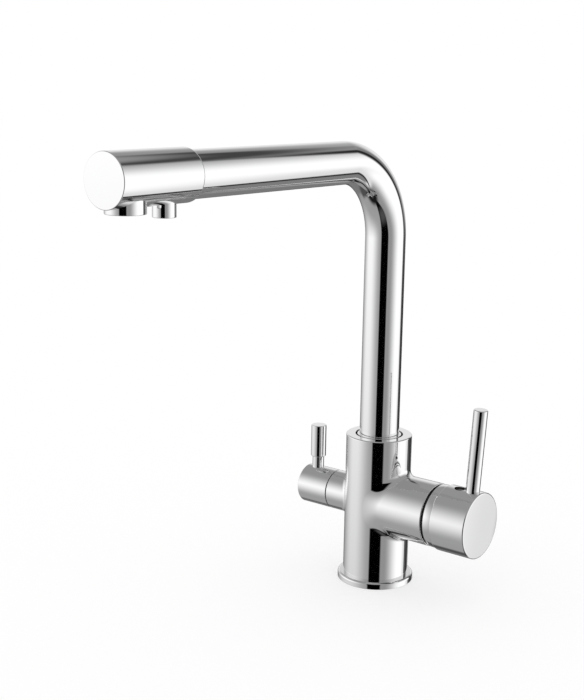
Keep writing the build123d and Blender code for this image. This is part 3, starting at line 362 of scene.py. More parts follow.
def dome(end: float, radius: float, rise: float, edge: float, steps: int = 6) -> Run:
    """Draws the rounded edge and the slightly domed face of a turned piece's far end.

    Args:
        end: where the dome's crown lies along the axis.
        radius: the piece's radius.
        rise: how far the crown stands over the face's rim.
        edge: the edge's rounding.
        steps: pieces of the edge and of the dome.

    Returns:
        One smooth run from the side to the axis.
    """
    rim = radius - edge
    tilt = math.atan(2 * rise / rim)
    reach = rim + edge * math.sin(tilt)
    ball = reach / math.sin(tilt)
    edge_centre = end - ball * (1 - math.cos(tilt)) - edge * math.cos(tilt)
    tilt_degrees = math.degrees(tilt)
    corner = arc((edge_centre, rim), edge, 90, tilt_degrees, steps)
    crown = arc((end - ball, 0.0), ball, tilt_degrees, 0.0, steps)
    return np.vstack((corner, crown[1:]))


# ---------------------------------------------------------------- turned and drilled skins
@dataclass(frozen=True)
class Branch:
    """A round hole or spigot that meets the side of a turned piece.

    Attributes:
        place: where its line meets the piece's axis.
        radius: its radius.
        lean: degrees that it leans along the axis.
    """

    place: float
    radius: float
    lean: float = 0.0

    def spot(self, line: Line, turn: np.ndarray, reach: object, radius: float | None = None) -> np.ndarray:
        """Gives places on the branch.

        Args:
            line: the piece's axis.
            turn: angles round the branch.
            reach: distances from the piece's axis along the branch.
            radius: another radius than the branch's own.

        Returns:
            The places.
        """
        tilt, size = math.radians(self.lean), self.radius if radius is None else radius
        return line.place(
            self.place + reach * math.sin(tilt) + size * np.sin(turn) * math.cos(tilt),
            reach * math.cos(tilt) - size * np.sin(turn) * math.sin(tilt),
            size * np.cos(turn),
        )

    def outwards(self, line: Line, turn: np.ndarray) -> np.ndarray:
        """Gives the directions away from the branch's own line."""
        tilt = math.radians(self.lean)
        return line.spread(np.sin(turn) * math.cos(tilt), -np.sin(turn) * math.sin(tilt), np.cos(turn))

    def reach(self, turn: np.ndarray, surface: float) -> np.ndarray:
        """Gives how far out the branch meets a cylinder of the piece's axis."""
        tilt, side = math.radians(self.lean), self.radius * np.cos(turn)
        return (np.sqrt(surface**2 - side**2) + self.radius * np.sin(turn) * math.sin(tilt)) / math.cos(tilt)

    def outline(self, turn: np.ndarray, surface: float) -> tuple[np.ndarray, np.ndarray]:
        """Gives the meeting line as (arc length round the piece, place along it).

        Args:
            turn: angles round the branch.
            surface: the cylinder's radius.

        Returns:
            The arc lengths and the places.
        """
        tilt, reach = math.radians(self.lean), self.reach(turn, surface)
        round_it = surface * np.arcsin(self.radius * np.cos(turn) / surface)
        return round_it, self.place + reach * math.sin(tilt) + self.radius * np.sin(turn) * math.cos(tilt)


class Skin:
    """A piece's surface as quads and triangles with a normal at every corner.

    Attributes:
        steps_per_mm: how finely places are told apart when corners are joined.
    """

    steps_per_mm: ClassVar[int] = 2000

    def __init__(self) -> None:
        """Starts an empty skin."""
        self.spots: list[np.ndarray] = []
        self.normals: list[np.ndarray] = []
        self.inside: list[np.ndarray] = []

    def grid(self, spots: np.ndarray, normals: np.ndarray, inside: bool = False) -> None:
        """Adds the quads of a grid.

        Args:
            spots: places, as rows x columns x 3.
            normals: their normals, in the same shape.
            inside: True where the piece has no plating; its dark finish there is painted shade.
        """
        for values, kept in ((spots, self.spots), (normals, self.normals)):
            quads = np.stack((values[:-1, :-1], values[:-1, 1:], values[1:, 1:], values[1:, :-1]), axis=2)
            kept.append(quads.reshape(-1, 4, 3))
        self.inside.append(np.full(len(self.spots[-1]), inside))

    def turned(self, line: Line, runs: Iterable[Run], angles: np.ndarray, inside: bool = False) -> None:
        """Adds a profile turned about an axis.

        Args:
            line: the axis.
            runs: the profile.
            angles: the angles of its edges, the first and the last the same place for a full turn.
            inside: True where the piece has no plating; its dark finish there is painted shade.
        """
        up, side = np.cos(angles), np.sin(angles)
        for run in runs:
            along, radius, lean, out = (run[:, k, None] for k in range(4))
            spots = line.place(along + 0 * up, radius * up, radius * side)
            self.grid(spots, line.spread(lean + 0 * up, out * up, out * side), inside)

    def window(
        self, line: Line, radius: float, middle: float, half: float, rows: np.ndarray, columns: int,
        hole: Callable, rings: int = 6,
    ) -> np.ndarray:
        """Adds part of a cylinder with a hole in it.

        Args:
            line: the cylinder's axis.
            radius: its radius.
            middle: angle of the part's middle.
            half: half the angle that it spans.
            rows: the places of its side's points along the axis.
            columns: how many pieces it has across.
            hole: gives the hole's edge as (arc length, place along) for angles.
            rings: how many rings of faces lie round the hole.

        Returns:
            The angles that the hole's edge was asked for, closed.
        """
        across = radius * np.linspace(-half, half, columns + 1)
        low, high = np.full(columns, rows[0]), np.full(columns, rows[-1])
        left, right = np.full(len(rows) - 1, across[0]), np.full(len(rows) - 1, across[-1])
        outer_u = np.concatenate((across[:-1], right, across[:0:-1], left, across[:1]))
        outer_a = np.concatenate((low, rows[:-1], high, rows[:0:-1], rows[:1]))
        hole_ends = np.radians((90.0, 270.0))
        centre = np.mean(hole(hole_ends)[1])
        turn = np.unwrap(np.arctan2(outer_a - centre, outer_u))
        hole_u, hole_a = hole(turn)
        mix = np.linspace(0, 1, rings + 1)[:, None]
        angle = middle + (hole_u * (1 - mix) + outer_u * mix) / radius
        up, side = np.cos(angle), np.sin(angle)
        along = hole_a * (1 - mix) + outer_a * mix
        self.grid(line.place(along, radius * up, radius * side), line.spread(0 * along, up, side))
        return turn

    def drilled(
        self, line: Line, radius: float, rows: np.ndarray, half: float, columns: int, pieces: int,
        branch: Branch,
    ) -> np.ndarray:
        """Adds a cylinder's side all the way round, with the opening of a branch.

        Args:
            line: the cylinder's axis.
            radius: its radius.
            rows: the places of the side's points along the axis.
            half: half the angle of the window that holds the opening.
            columns: how many pieces the window has across.
            pieces: how many pieces the rest of the turn has.
            branch: the hole or spigot.

        Returns:
            The angles round the branch of the opening's points, closed.
        """
        opening = partial(branch.outline, surface=radius)
        turn = self.window(line, radius, 0.0, half, rows, columns, opening)
        rest = rest_of_turn(half, pieces)
        up, side = np.cos(rest), np.sin(rest)
        spots = line.place(rows[:, None], radius * up, radius * side)
        self.grid(spots, line.spread(0 * rows[:, None], up, side))
        return turn

    def plate(
        self, edge: np.ndarray, centre: np.ndarray, radius: float, normal: np.ndarray, rings: int
    ) -> np.ndarray:
        """Adds a flat plate with a round hole.

        Args:
            edge: places of the plate's edge, closed.
            centre: the hole's centre.
            radius: its radius.
            normal: where the plate faces.
            rings: how many rings of faces it has.

        Returns:
            Directions from the hole's centre to the points of its edge, closed.
        """
        ways = edge - centre
        ways = ways / np.linalg.norm(ways, axis=1)[:, None]
        mix = np.linspace(0, 1, rings + 1)[:, None, None]
        spots = (centre + ways * radius) * (1 - mix) + edge * mix
        self.grid(spots, np.broadcast_to(normal, spots.shape))
        return ways

    def shape(self, name: str, finish: bpy.types.Material, bare_painted_shade: bpy.types.Material) -> bpy.types.Object:
        """Joins corners that coincide, turns every face outwards and makes the object.

        Args:
            name: its name.
            finish: its material outside.
            bare_painted_shade: its material where it has no plating, painted dark as shade.

        Returns:
            The object, linked to the scene.
        """
        spots, normals = np.concatenate(self.spots), np.concatenate(self.normals)
        normals = normals / np.linalg.norm(normals, axis=2, keepdims=True)
        way = np.cross(spots[:, 2] - spots[:, 0], spots[:, 3] - spots[:, 1])
        inward = np.sum(way * normals.sum(axis=1), axis=1) < 0
        spots[inward], normals[inward] = spots[inward, ::-1], normals[inward, ::-1]
        keys = np.round(spots.reshape(-1, 3) * self.steps_per_mm).astype(np.int64)
        _, first, corner = np.unique(keys, axis=0, return_index=True, return_inverse=True)
        corner = corner.reshape(-1, 4)
        keep = corner != np.roll(corner, 1, axis=1)
        faces, loops, slots = [], [], []
        for row, kept, directions, inside in zip(corner, keep, normals, np.concatenate(self.inside)):
            ring = tuple(int(k) for k in row[kept])
            if len(ring) > 2 and len(set(ring)) == len(ring):
                faces.append(ring)
                loops.extend(directions[kept])
                slots.append(int(inside))
        mesh = bpy.data.meshes.new(name)
        mesh.from_pydata([tuple(spot) for spot in spots.reshape(-1, 3)[first] * MM], [], faces)
        mesh.materials.append(finish)
        if any(slots):
            mesh.materials.append(bare_painted_shade)
        mesh.polygons.foreach_set("material_index", slots)
        mesh.polygons.foreach_set("use_smooth", [True] * len(faces))
        mesh.update()
        mesh.normals_split_custom_set([tuple(direction) for direction in loops])
        piece = bpy.data.objects.new(name, mesh)
        bpy.context.scene.collection.objects.link(piece)
        return piece


# ---------------------------------------------------------------- sizes that pieces share
@dataclass(frozen=True)
class Sizes:
    """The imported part's sizes that its visible pieces share, in millimetres or degrees.

    Attributes:
        body_radius: radius of the body.
        body_height: height of the body's top.
        foot_radius: radius of the body's foot, inside the base ring.
        ring_height: height of the base ring.
        side_height: height of the axis of both handles.
        hole_offset: how far each hole in the foot lies from its middle, both ways.
        tube_radius: radius of the spout's tube.
        spout_height: height of the spout's level axis.
        head_back: where the head's end towards the tube lies on that axis.
        head_front: where its other end lies.
        pivot: where the mixer's pivot lies on its axis.
        plug_place: where the index plug lies on the mixer's axis.
        plug_floor: how far its floor lies from that axis.
        lever_place: where the mixer's lever starts from that axis.
        lever_lean: degrees that it leans along the axis.
        lever_floor: how far its foot lies from the axis.
        knob_lever_place: where the filter handle's lever starts from the filter's axis.
        knob_lever_floor: how far its foot lies from that axis.
    """

    body_radius: float = 23.0
    body_height: float = 106.3
    foot_radius: float = 21.0
    ring_height: float = 4.7
    side_height: float = 57.5
    hole_offset: float = 8.485
    tube_radius: float = 13.8
    spout_height: float = 296.9
    head_back: float = 198.6
    head_front: float = 260.1
    pivot: float = 54.0
    plug_place: float = 67.3
    plug_floor: float = 21.1
    lever_place: float = 75.55
    lever_lean: float = 3.3
    lever_floor: float = 19.5
    knob_lever_place: float = 53.0
    knob_lever_floor: float = 12.0


TAP = Sizes()
UPRIGHT = Line((0, 0, 0), (0, 0, 1), (1, 0, 0))
MIXER = Line((0, 0, TAP.side_height), (1, 0, 0), (0, 0, 1))
FILTER = Line((0, 0, TAP.side_height), (-1, 0, 0), (0, 0, 1))
HEAD = Line((0, 0, TAP.spout_height), (0, -1, 0), (0, 0, -1))


# ---------------------------------------------------------------- kinds of visible pieces
class Piece(ABC):
    """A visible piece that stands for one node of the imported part."""

    name: ClassVar[str]
    node: ClassVar[str]
    body: ClassVar[str]
    finish: ClassVar[Kit] = Kit.CHROME

    @abstractmethod
    def skin(self) -> Skin:
        """Draws the piece."""

    def build(self, materials: dict[Kit, bpy.types.Material]) -> bpy.types.Object:
        """Makes the piece and joins it to its body.

        Args:
            materials: the finishes' materials.

        Returns:
            The finished object.
        """
        piece = self.skin().shape(self.name, materials[self.finish], materials[Kit.UNPLATED_PAINTED_SHADE])
        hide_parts(self.node)
        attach(piece, self.body)
        log.info("%s: %d faces, stands for %s", self.name, len(piece.data.polygons), self.node)
        return piece


@dataclass(frozen=True)
class Arm:
    """One of the body's two side branches.

    Attributes:
        line: its axis.
        radius: its radius.
        reach: where its face lies along the axis.
        widths: the arc length of its blend over and under it, and at its sides.
        rim: rounding of the face's outer edge.
        face: radius where the face's plating ends and the bore's painted shade begins.
        bore: radius of the unplated bore, whose dark finish is painted shade.
        bore_edge: rounding of the bore's edge.
        bore_depth: how deep the bore is drawn.
    """

    line: Line
    radius: float
    reach: float
    widths: Point
    rim: float
    face: float
    bore: float
    bore_edge: float
    bore_depth: float


HOUSING = Arm(MIXER, 22.0, 49.9, (6.8, 12.5), rim=0.6, face=21.3, bore=19.0, bore_edge=0.2, bore_depth=4.0)
STUB = Arm(FILTER, 14.0, 35.3, (4.7, 3.4), rim=0.3, face=13.7, bore=11.74, bore_edge=0.15, bore_depth=2.0)


@dataclass
class Casting(Piece):
    """The body with its two side branches, rolled into it by soft blends.

    Polishing leaves a blend wider where the two surfaces meet at a shallow angle, so each blend has one
    width over and under the branch and another at its sides.

    Attributes:
        blend_focus: how closely a blend's side width keeps to the branch's sides.
        blend_range: the smallest and the largest radius that a blend can have.
        blend_halvings: how often that range is halved to find a blend's radius.
        blend_steps: faces across a blend.
        columns: faces round half the body.
        rows: faces up the body.
        window_rings: rings of faces between a blend and the edge of its half of the body.
        plate_rings: rings of faces round a hole in the foot.
        spoke_steps: pieces of the foot's face from its edge to its middle.
        hole_depth: depth of the threaded holes.
        inlet_root: radius of the three inlets at the root of their threads.
        stud_root: radius of the stud hole at the root of its thread.
        stud_quarter: the quarter of the foot that holds the stud hole.
        top_edge: rounding of the body's top edge.
        recess_radius: radius of the recess for the collar.
        recess_depth: its depth.
        recess_edge: rounding of its edge.
        plated_depth: how far the plating reaches into it; below that the recess is painted dark as shade.
    """

    name: ClassVar[str] = "tap_casting"
    node: ClassVar[str] = "body_casting"
    body: ClassVar[str] = "tap_body"
    blend_focus: int = 8
    blend_range: Point = (0.1, 500.0)
    blend_halvings: int = 40
    blend_steps: int = 14
    columns: int = 48
    rows: int = 84
    window_rings: int = 8
    plate_rings: int = 3
    spoke_steps: int = 12
    hole_depth: float = 12.6
    inlet_root: float = 5.0
    stud_root: float = 4.0
    stud_quarter: int = 2
    top_edge: float = 0.9
    recess_radius: float = 16.6
    recess_depth: float = 6.0
    recess_edge: float = 0.3
    plated_depth: float = 0.6

    def blend_radius(self, turn: np.ndarray, arm: Arm) -> np.ndarray:
        """Finds the blend's radius round a branch from the width of its arc.

        Args:
            turn: angles round the branch, zero at its side.
            arm: the branch.

        Returns:
            The radius for each angle.
        """
        over, aside = arm.widths
        wanted = over + (aside - over) * np.cos(turn) ** self.blend_focus
        low, high = (np.full(np.shape(turn), bound) for bound in self.blend_range)
        for _ in range(self.blend_halvings):
            blend = (low + high) / 2
            share = (arm.radius + blend) / (TAP.body_radius + blend) * np.cos(turn) ** 2
            wide = blend * np.arccos(share) > wanted
            low, high = np.where(wide, low, blend), np.where(wide, blend, high)
        return blend

    def rolled(self, turn: np.ndarray, arm: Arm) -> tuple[np.ndarray, np.ndarray]:
        """Draws the blend as arcs that touch the body and the branch.

        Args:
            turn: angles round the branch, closed.
            arm: the branch, taken to lie along +X.

        Returns:
            Places and normals, from the body's side to the branch's.
        """
        blend = self.blend_radius(turn, arm)[:, None]
        side, up = np.cos(turn), np.sin(turn)
        away, body_away = arm.radius + blend[:, 0], TAP.body_radius + blend[:, 0]
        out = np.sqrt(body_away**2 - (away * side) ** 2)
        middle = np.stack((out, away * side, away * up), axis=-1)
        first = middle * np.array((1.0, 1.0, 0.0)) / body_away[:, None]
        last = np.stack((0 * turn, side, up), axis=-1)
        gap = np.arccos(np.sum(first * last, axis=1))[:, None]
        shares = np.linspace(0, 1, self.blend_steps + 1)[:, None, None]
        swept = (np.sin((1 - shares) * gap) * first + np.sin(shares * gap) * last) / np.sin(gap)
        spots = middle - blend * swept
        normals = self.slopes(spots, turn)
        normals *= np.sign(np.sum(normals * swept, axis=2))[..., None]
        normals /= np.linalg.norm(normals, axis=2)[..., None]
        normals[0], normals[-1] = first, last
        return spots + np.array((0, 0, TAP.side_height)), normals

    @staticmethod
    def slopes(spots: np.ndarray, turn: np.ndarray, overlap: int = 3) -> np.ndarray:
        """Gives directions square to a grid that closes on itself across its columns.

        Args:
            spots: the grid's places.
            turn: the angle of each column, the last one turn after the first.
            overlap: how many columns are repeated past each end, to measure the slope there.

        Returns:
            The directions, with a length of their own.
        """
        before, after = slice(-overlap - 1, -1), slice(1, overlap + 1)
        more = np.concatenate((turn[before] - turn[-1] + turn[0], turn, turn[after] - turn[0] + turn[-1]))
        wrapped = np.concatenate((spots[:, before], spots, spots[:, after]), axis=1)
        return np.cross(np.gradient(spots, axis=0), np.gradient(wrapped, more, axis=1)[:, overlap:-overlap])

    def half(self, skin: Skin, arm: Arm) -> None:
        """Adds one half of the body with the branch that leaves it.

        Args:
            skin: the skin to add to.
            arm: the branch.
        """
        line, across = arm.line, arm.line.along[0]
        radius, main, reach = arm.radius, TAP.body_radius, arm.reach

        def edge(turn: np.ndarray) -> tuple[np.ndarray, np.ndarray]:
            """Gives the blend's edge on the body, as arc lengths and heights.

            Args:
                turn: angles round the branch.

            Returns:
                The arc lengths and the heights.
            """
            away = self.blend_radius(turn, arm)
            angle = np.arcsin((radius + away) * np.cos(turn) / (main + away))
            return main * angle, TAP.side_height + (radius + away) * np.sin(turn)

        rows = np.linspace(TAP.ring_height, TAP.body_height - self.top_edge, self.rows + 1)
        middle = 0.0 if across > 0 else math.pi
        turn = skin.window(UPRIGHT, main, middle, math.pi / 2, rows, self.columns, edge, self.window_rings)
        flip = np.array((across, across, 1.0))
        spots, normals = self.rolled(turn, arm)
        skin.grid(spots * flip, normals * flip)
        side_turn = turn - math.pi / 2
        up, side = np.cos(side_turn), np.sin(side_turn)
        end = past_side((reach, radius, arm.rim), (reach, arm.face))
        out = line.place(end[0][0, 0] + 0 * turn, radius * up, radius * side)
        outwards = line.spread(0 * turn, up, side)
        skin.grid(np.stack((spots[-1] * flip, out)), np.stack((outwards, outwards)))
        skin.turned(line, end, side_turn)
        floor = reach - arm.bore_depth
        bore = rounded((reach, arm.face), (reach, arm.bore, arm.bore_edge), (floor, arm.bore), (floor, 0.0))
        # The bore is unplated and painted dark, as the shade in the gap before the handle.
        skin.turned(line, bore, side_turn, inside=True)

    def skin(self) -> Skin:
        """Draws the casting.

        Returns:
            The skin.
        """
        skin = Skin()
        self.half(skin, HOUSING)
        self.half(skin, STUB)
        angles = np.linspace(-math.pi / 2, 1.5 * math.pi, 2 * self.columns + 1)
        top, recess, main = TAP.body_height, self.recess_radius, TAP.body_radius
        plated, floor = top - self.plated_depth, top - self.recess_depth
        edge = past_side((top, main, self.top_edge), (top, recess, self.recess_edge), (plated, recess))
        skin.turned(UPRIGHT, edge, angles)
        # Below the plating the recess round the collar is unplated and painted dark, as the shade in that
        # gap.
        skin.turned(UPRIGHT, rounded((plated, recess), (floor, recess), (floor, 0.0)), angles, inside=True)
        foot, step = TAP.foot_radius, TAP.ring_height
        skin.turned(UPRIGHT, rounded((0, foot), (step, foot), (step, main)), angles)
        self.underside(skin, angles)
        return skin

    def underside(self, skin: Skin, angles: np.ndarray) -> None:
        """Adds the foot's face with its four threaded holes.

        Args:
            skin: the skin to add to.
            angles: the angles of the foot's edge.
        """
        quarter, down = self.columns // 2, np.array((0, 0, -1.0))
        depth = np.array((0, 0, self.hole_depth))
        for k in range(4):
            radius = self.stud_root if k == self.stud_quarter else self.inlet_root
            rim = angles[k * quarter : (k + 1) * quarter + 1] + math.pi / 2
            curve = TAP.foot_radius * np.stack((np.cos(rim), np.sin(rim), 0 * rim), axis=-1)
            shares = np.linspace(1, 0, self.spoke_steps + 1)[1:, None]
            inwards, outwards = shares * curve[-1], shares[::-1][1:] * curve[0]
            edge = np.concatenate((curve, inwards, outwards, curve[:1]))
            middle = (rim[0] + rim[-1]) / 2
            centre = TAP.hole_offset * math.sqrt(2) * np.array((math.cos(middle), math.sin(middle), 0.0))
            ways = skin.plate(edge, centre, radius, down, self.plate_rings)
            mouth = centre + ways * radius
            skin.grid(np.stack((mouth, mouth + depth)), np.stack((-ways, -ways)))
            floor = np.stack((mouth + depth, centre + ways * 0 + depth))
            skin.grid(floor, np.broadcast_to(down, floor.shape))


@dataclass
class Turned(Piece):
    """A piece that is turned about one axis all the way.

    Attributes:
        line: its axis.
        profile: its half profile.
        pieces: how many pieces make a full turn.
    """

    name: str
    node: str
    body: str
    line: Line
    profile: list[Run]
    pieces: int = 128
    finish: Kit = Kit.CHROME

    def skin(self) -> Skin:
        """Draws the piece.

        Returns:
            The skin.
        """
        skin = Skin()
        skin.turned(self.line, self.profile, full_turn(self.pieces))
        return skin


@dataclass
class Tube(Piece):
    """The spout's bent tube.

    Attributes:
        wall: its wall.
        bottom: height of its lower end.
        bend: radius of its bend, at its middle.
        end: how far its other end lies from the riser's axis.
        pieces: faces round it.
        bend_steps: faces along the bend.
    """

    name: ClassVar[str] = "tap_tube"
    node: ClassVar[str] = "spout_tube"
    body: ClassVar[str] = "spout"
    wall: float = 1.2
    bottom: float = 98.6
    bend: float = 51.8
    end: float = 208.1
    pieces: int = 96
    bend_steps: int = 64

    def skin(self) -> Skin:
        """Draws the tube, inside and out.

        Returns:
            The skin.
        """
        bend, top = self.bend, TAP.spout_height
        angles = np.radians(np.linspace(0, 90, self.bend_steps + 1))
        up, forward = np.cos(angles), np.sin(angles)
        ways = np.stack((0 * angles, -forward, up), axis=-1)
        path = np.stack((0 * angles, -bend * (1 - up), top - bend + bend * forward), axis=-1)
        path = np.concatenate(([(0, 0, self.bottom)], path, [(0, -self.end, top)]))
        ways = np.concatenate((ways[:1], ways, ways[-1:]))
        across = np.array((1.0, 0.0, 0.0))
        turn = full_turn(self.pieces)[:, None]
        inwards = np.cross(ways, across)
        normals = np.stack([np.cos(turn) * across + np.sin(turn) * inward for inward in inwards])
        skin = Skin()
        outer, inner = TAP.tube_radius, TAP.tube_radius - self.wall
        skin.grid(path[:, None] + outer * normals, normals)
        # The tube's inside is unplated and painted dark, as the shade in its bore.
        skin.grid(path[:, None] + inner * normals, -normals, inside=True)
        for end, sign in ((0, -1.0), (-1, 1.0)):
            spots = np.stack([path[end] + size * normals[end] for size in (inner, outer)])
            skin.grid(spots, np.broadcast_to(sign * ways[end], spots.shape))
        return skin


@dataclass(frozen=True, kw_only=True)
class Outlet(Branch):
    """An outlet of the spout's head.

    Attributes:
        side: where the head's side round this outlet starts and ends.
        mouth: how far the mouth lies from the head's axis.
        bore: radius of its bore.
        depth: depth of its bore.
        throat: radius of the way behind the bore.
    """

    side: Point
    mouth: float
    bore: float
    depth: float
    throat: float


@dataclass
class SpoutHead(Piece):
    """The head over the spout's end, with its two outlets.

    Attributes:
        radius: its radius.
        back_edge: rounding of its edge towards the tube.
        front_edge: rounding of its edge towards the user.
        seat_edge: rounding of the mouth that takes the tube.
        seat_depth: how far the tube goes in.
        seat_gap: the gap round the tube.
        split: where the side round one outlet ends and the other's starts.
        rim: rounding of an outlet's outer edge.
        rim_inside: rounding of its inner edge.
        throat_depth: how deep the way behind a bore is drawn.
        half: half the angle of the window that holds an outlet.
        columns: faces across the window.
        rest: faces round the rest of the head.
        rows: faces along the side round one outlet.
    """

    name: ClassVar[str] = "tap_spout_head"
    node: ClassVar[str] = "spout_head"
    body: ClassVar[str] = "spout"
    radius: float = 15.35
    back_edge: float = 1.3
    front_edge: float = 0.5
    seat_edge: float = 0.1
    seat_depth: float = 9.5
    seat_gap: float = 0.05
    split: float = 227.6
    rim: float = 0.4
    rim_inside: float = 0.25
    throat_depth: float = 2.0
    half: float = math.radians(62)
    columns: int = 36
    rest: int = 64
    rows: int = 24

    def outlets(self) -> tuple[Outlet, Outlet]:
        """Gives the wide outlet for mixed water and the narrow one for filtered water.

        Returns:
            The two outlets.
        """
        front, back = TAP.head_front - self.front_edge, TAP.head_back + self.back_edge
        return (
            Outlet(244.8, 11.35, side=(self.split, front), mouth=18.2, bore=9.25, depth=9.0, throat=7.0),
            Outlet(215.5, 6.7, side=(back, self.split), mouth=22.2, bore=5.2, depth=5.5, throat=4.5),
        )

    def spigot(self, skin: Skin, outlet: Outlet) -> None:
        """Adds an outlet and the head's side round it.

        Args:
            skin: the skin to add to.
            outlet: the outlet.
        """
        rows = np.linspace(*outlet.side, self.rows + 1)
        turn = skin.drilled(HEAD, self.radius, rows, self.half, self.columns, self.rest, outlet)
        wall = outlet.outwards(HEAD, turn)
        foot = outlet.spot(HEAD, turn, outlet.reach(turn, self.radius))
        mouth, floor = outlet.mouth, outlet.mouth - outlet.depth
        end = floor - self.throat_depth
        profile = past_side(
            (mouth, outlet.radius, self.rim), (mouth, outlet.bore, self.rim_inside), (floor, outlet.bore),
            (floor, outlet.throat), (end, outlet.throat), (end, 0.0),
        )
        skin.grid(np.stack((foot, outlet.spot(HEAD, turn, profile[0][0, 0]))), np.stack((wall, wall)))
        centre = outlet.spot(HEAD, np.zeros(1), 0.0, 0.0)[0]
        line = Line(tuple(centre), HEAD.up, tuple(np.cross(HEAD.along, HEAD.up)))
        skin.turned(line, profile, turn)

    def skin(self) -> Skin:
        """Draws the head.

        Returns:
            The skin.
        """
        skin = Skin()
        for outlet in self.outlets():
            self.spigot(skin, outlet)
        angles = with_window(self.half, self.columns, self.rest)
        back, front, radius = TAP.head_back, TAP.head_front, self.radius
        tube, seat = TAP.tube_radius + self.seat_gap, back + self.seat_depth
        tail = up_to_side(
            (seat, 0.0), (seat, tube), (back, tube, self.seat_edge), (back, radius, self.back_edge)
        )
        skin.turned(HEAD, tail, angles)
        skin.turned(HEAD, past_side((front, radius, self.front_edge), (front, 0.0)), angles)
        return skin


@dataclass(frozen=True, kw_only=True)
class Hole(Branch):
    """A blind hole in a cap's side.

    Attributes:
        side: where the cap's side round this hole starts and ends.
        floor: how far the hole's floor lies from the cap's axis.
    """

    side: Point
    floor: float


@dataclass
class Capped(Piece):
    """A handle's cap: turned, with round holes let into its side.

    Attributes:
        line: its axis.
        radius: its radius.
        start: runs before its side, ending at the side's first place.
        end: runs after its side.
        inner: runs of its inside, which are unplated and painted dark as shade.
        holes: the holes, from the side's start to its end.
        half: half the angle of the window that holds a hole.
        columns: faces across the window.
        pieces: faces round the rest of the cap.
        rows: faces along the side round one hole.
    """

    name: str
    node: str
    body: str
    line: Line
    radius: float
    start: list[Run]
    end: list[Run]
    inner: list[Run]
    holes: tuple[Hole, ...]
    half: float = math.radians(40)
    columns: int = 24
    pieces: int = 84
    rows: int = 16

    def skin(self) -> Skin:
        """Draws the cap.

        Returns:
            The skin.
        """
        skin = Skin()
        angles = with_window(self.half, self.columns, self.pieces)
        skin.turned(self.line, self.start, angles)
        skin.turned(self.line, self.end, angles)
        skin.turned(self.line, self.inner, angles, inside=True)
        for hole in self.holes:
            rows = np.linspace(*hole.side, self.rows + 1)
            turn = skin.drilled(self.line, self.radius, rows, self.half, self.columns, self.pieces, hole)
            wall = -hole.outwards(self.line, turn)
            rim = hole.spot(self.line, turn, hole.reach(turn, self.radius))
            foot = hole.spot(self.line, turn, hole.floor)
            middle = hole.spot(self.line, turn, hole.floor, 0.0)
            tilt = math.radians(hole.lean)
            up = self.line.spread(math.sin(tilt) + 0 * turn, math.cos(tilt) + 0 * turn, 0 * turn)
            # The holes' walls and floors are unplated and painted dark, as the shade inside the holes.
            skin.grid(np.stack((rim, foot)), np.stack((wall, wall)), inside=True)
            skin.grid(np.stack((foot, middle)), np.stack((up, up)), inside=True)
        return skin


@dataclass
class Threads:
    """The ridges of threaded holes of one size, repeated by geometry nodes.

    Attributes:
        name: the piece's name.
        spots: where the holes' centres lie on the foot.
        crest: radius at the ridges' crests.
        root: radius of the hole between the ridges.
        pitch: from ridge to ridge.
        turns: how many ridges each hole has.
        resolution: faces round a ridge.
        sides: faces across a ridge's section.
    """

    name: str
    spots: tuple[Point, ...]
    crest: float
    root: float
    pitch: float
    turns: int
    resolution: int = 48
    sides: int = 4

    def nodes(self) -> bpy.types.NodeTree:
        """Builds the tree that sets a column of ridges on every hole's centre.

        Returns:
            The tree.
        """
        group = bpy.data.node_groups.new(f"{self.name}_nodes", "GeometryNodeTree")
        face = group.interface
        for label, kind in (
            ("Holes", "NodeSocketGeometry"), ("Turns", "NodeSocketInt"), ("Pitch", "NodeSocketFloat"),
            ("Radius", "NodeSocketFloat"), ("Ridge", "NodeSocketFloat"), ("Resolution", "NodeSocketInt"),
            ("Finish", "NodeSocketMaterial"),
        ):
            face.new_socket(label, in_out="INPUT", socket_type=kind)
        face.new_socket("Ridges", in_out="OUTPUT", socket_type="NodeSocketGeometry")
        tree = Tree(group)
        given = tree.add("NodeGroupInput").outputs
        circle = "GeometryNodeCurvePrimitiveCircle"
        path = tree.add(circle, Resolution=given["Resolution"], Radius=given["Radius"])
        section = tree.add(circle, Resolution=self.sides, Radius=given["Ridge"])
        ridge = tree.add("GeometryNodeCurveToMesh", Curve=path, Profile_Curve=section)
        step = tree.add("ShaderNodeCombineXYZ", Z=given["Pitch"])
        column = tree.add(
            "GeometryNodeMeshLine",
            {"mode": "OFFSET"},
            Count=given["Turns"],
            Start_Location=step,
            Offset=step,
        )
        stack = tree.add("GeometryNodeInstanceOnPoints", Points=column, Instance=ridge)
        stacks = tree.add("GeometryNodeInstanceOnPoints", Points=given["Holes"], Instance=stack)
        real = tree.add("GeometryNodeRealizeInstances", Geometry=stacks)
        finished = tree.add("GeometryNodeSetMaterial", Geometry=real, Material=given["Finish"])
        tree.put(tree.add("NodeGroupOutput").inputs["Ridges"], finished)
        return group

    def build(self, material: bpy.types.Material) -> bpy.types.Object:
        """Makes the ridges as one mesh and joins them to the tap's body.

        Args:
            material: their material.

        Returns:
            The finished object.
        """
        mesh = bpy.data.meshes.new(self.name)
        mesh.from_pydata([(x * MM, y * MM, 0.0) for x, y in self.spots], [], [])
        piece = bpy.data.objects.new(self.name, mesh)
        bpy.context.scene.collection.objects.link(piece)
        modifier = piece.modifiers.new("ridges", "NODES")
        modifier.node_group = self.nodes()
        values = {
            "Turns": self.turns, "Pitch": self.pitch * MM, "Radius": self.root * MM,
            "Ridge": (self.root - self.crest) * MM, "Resolution": self.resolution, "Finish": material,
        }
        for item in modifier.node_group.interface.items_tree:
            if item.name in values:
                modifier[item.identifier] = values[item.name]
        shown = piece.evaluated_get(bpy.context.evaluated_depsgraph_get())
        finished = bpy.data.meshes.new_from_object(shown)
        piece.modifiers.clear()
        piece.data = finished
        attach(piece, "tap_body")
        log.info("%s: %d faces", self.name, len(finished.polygons))
        return piece


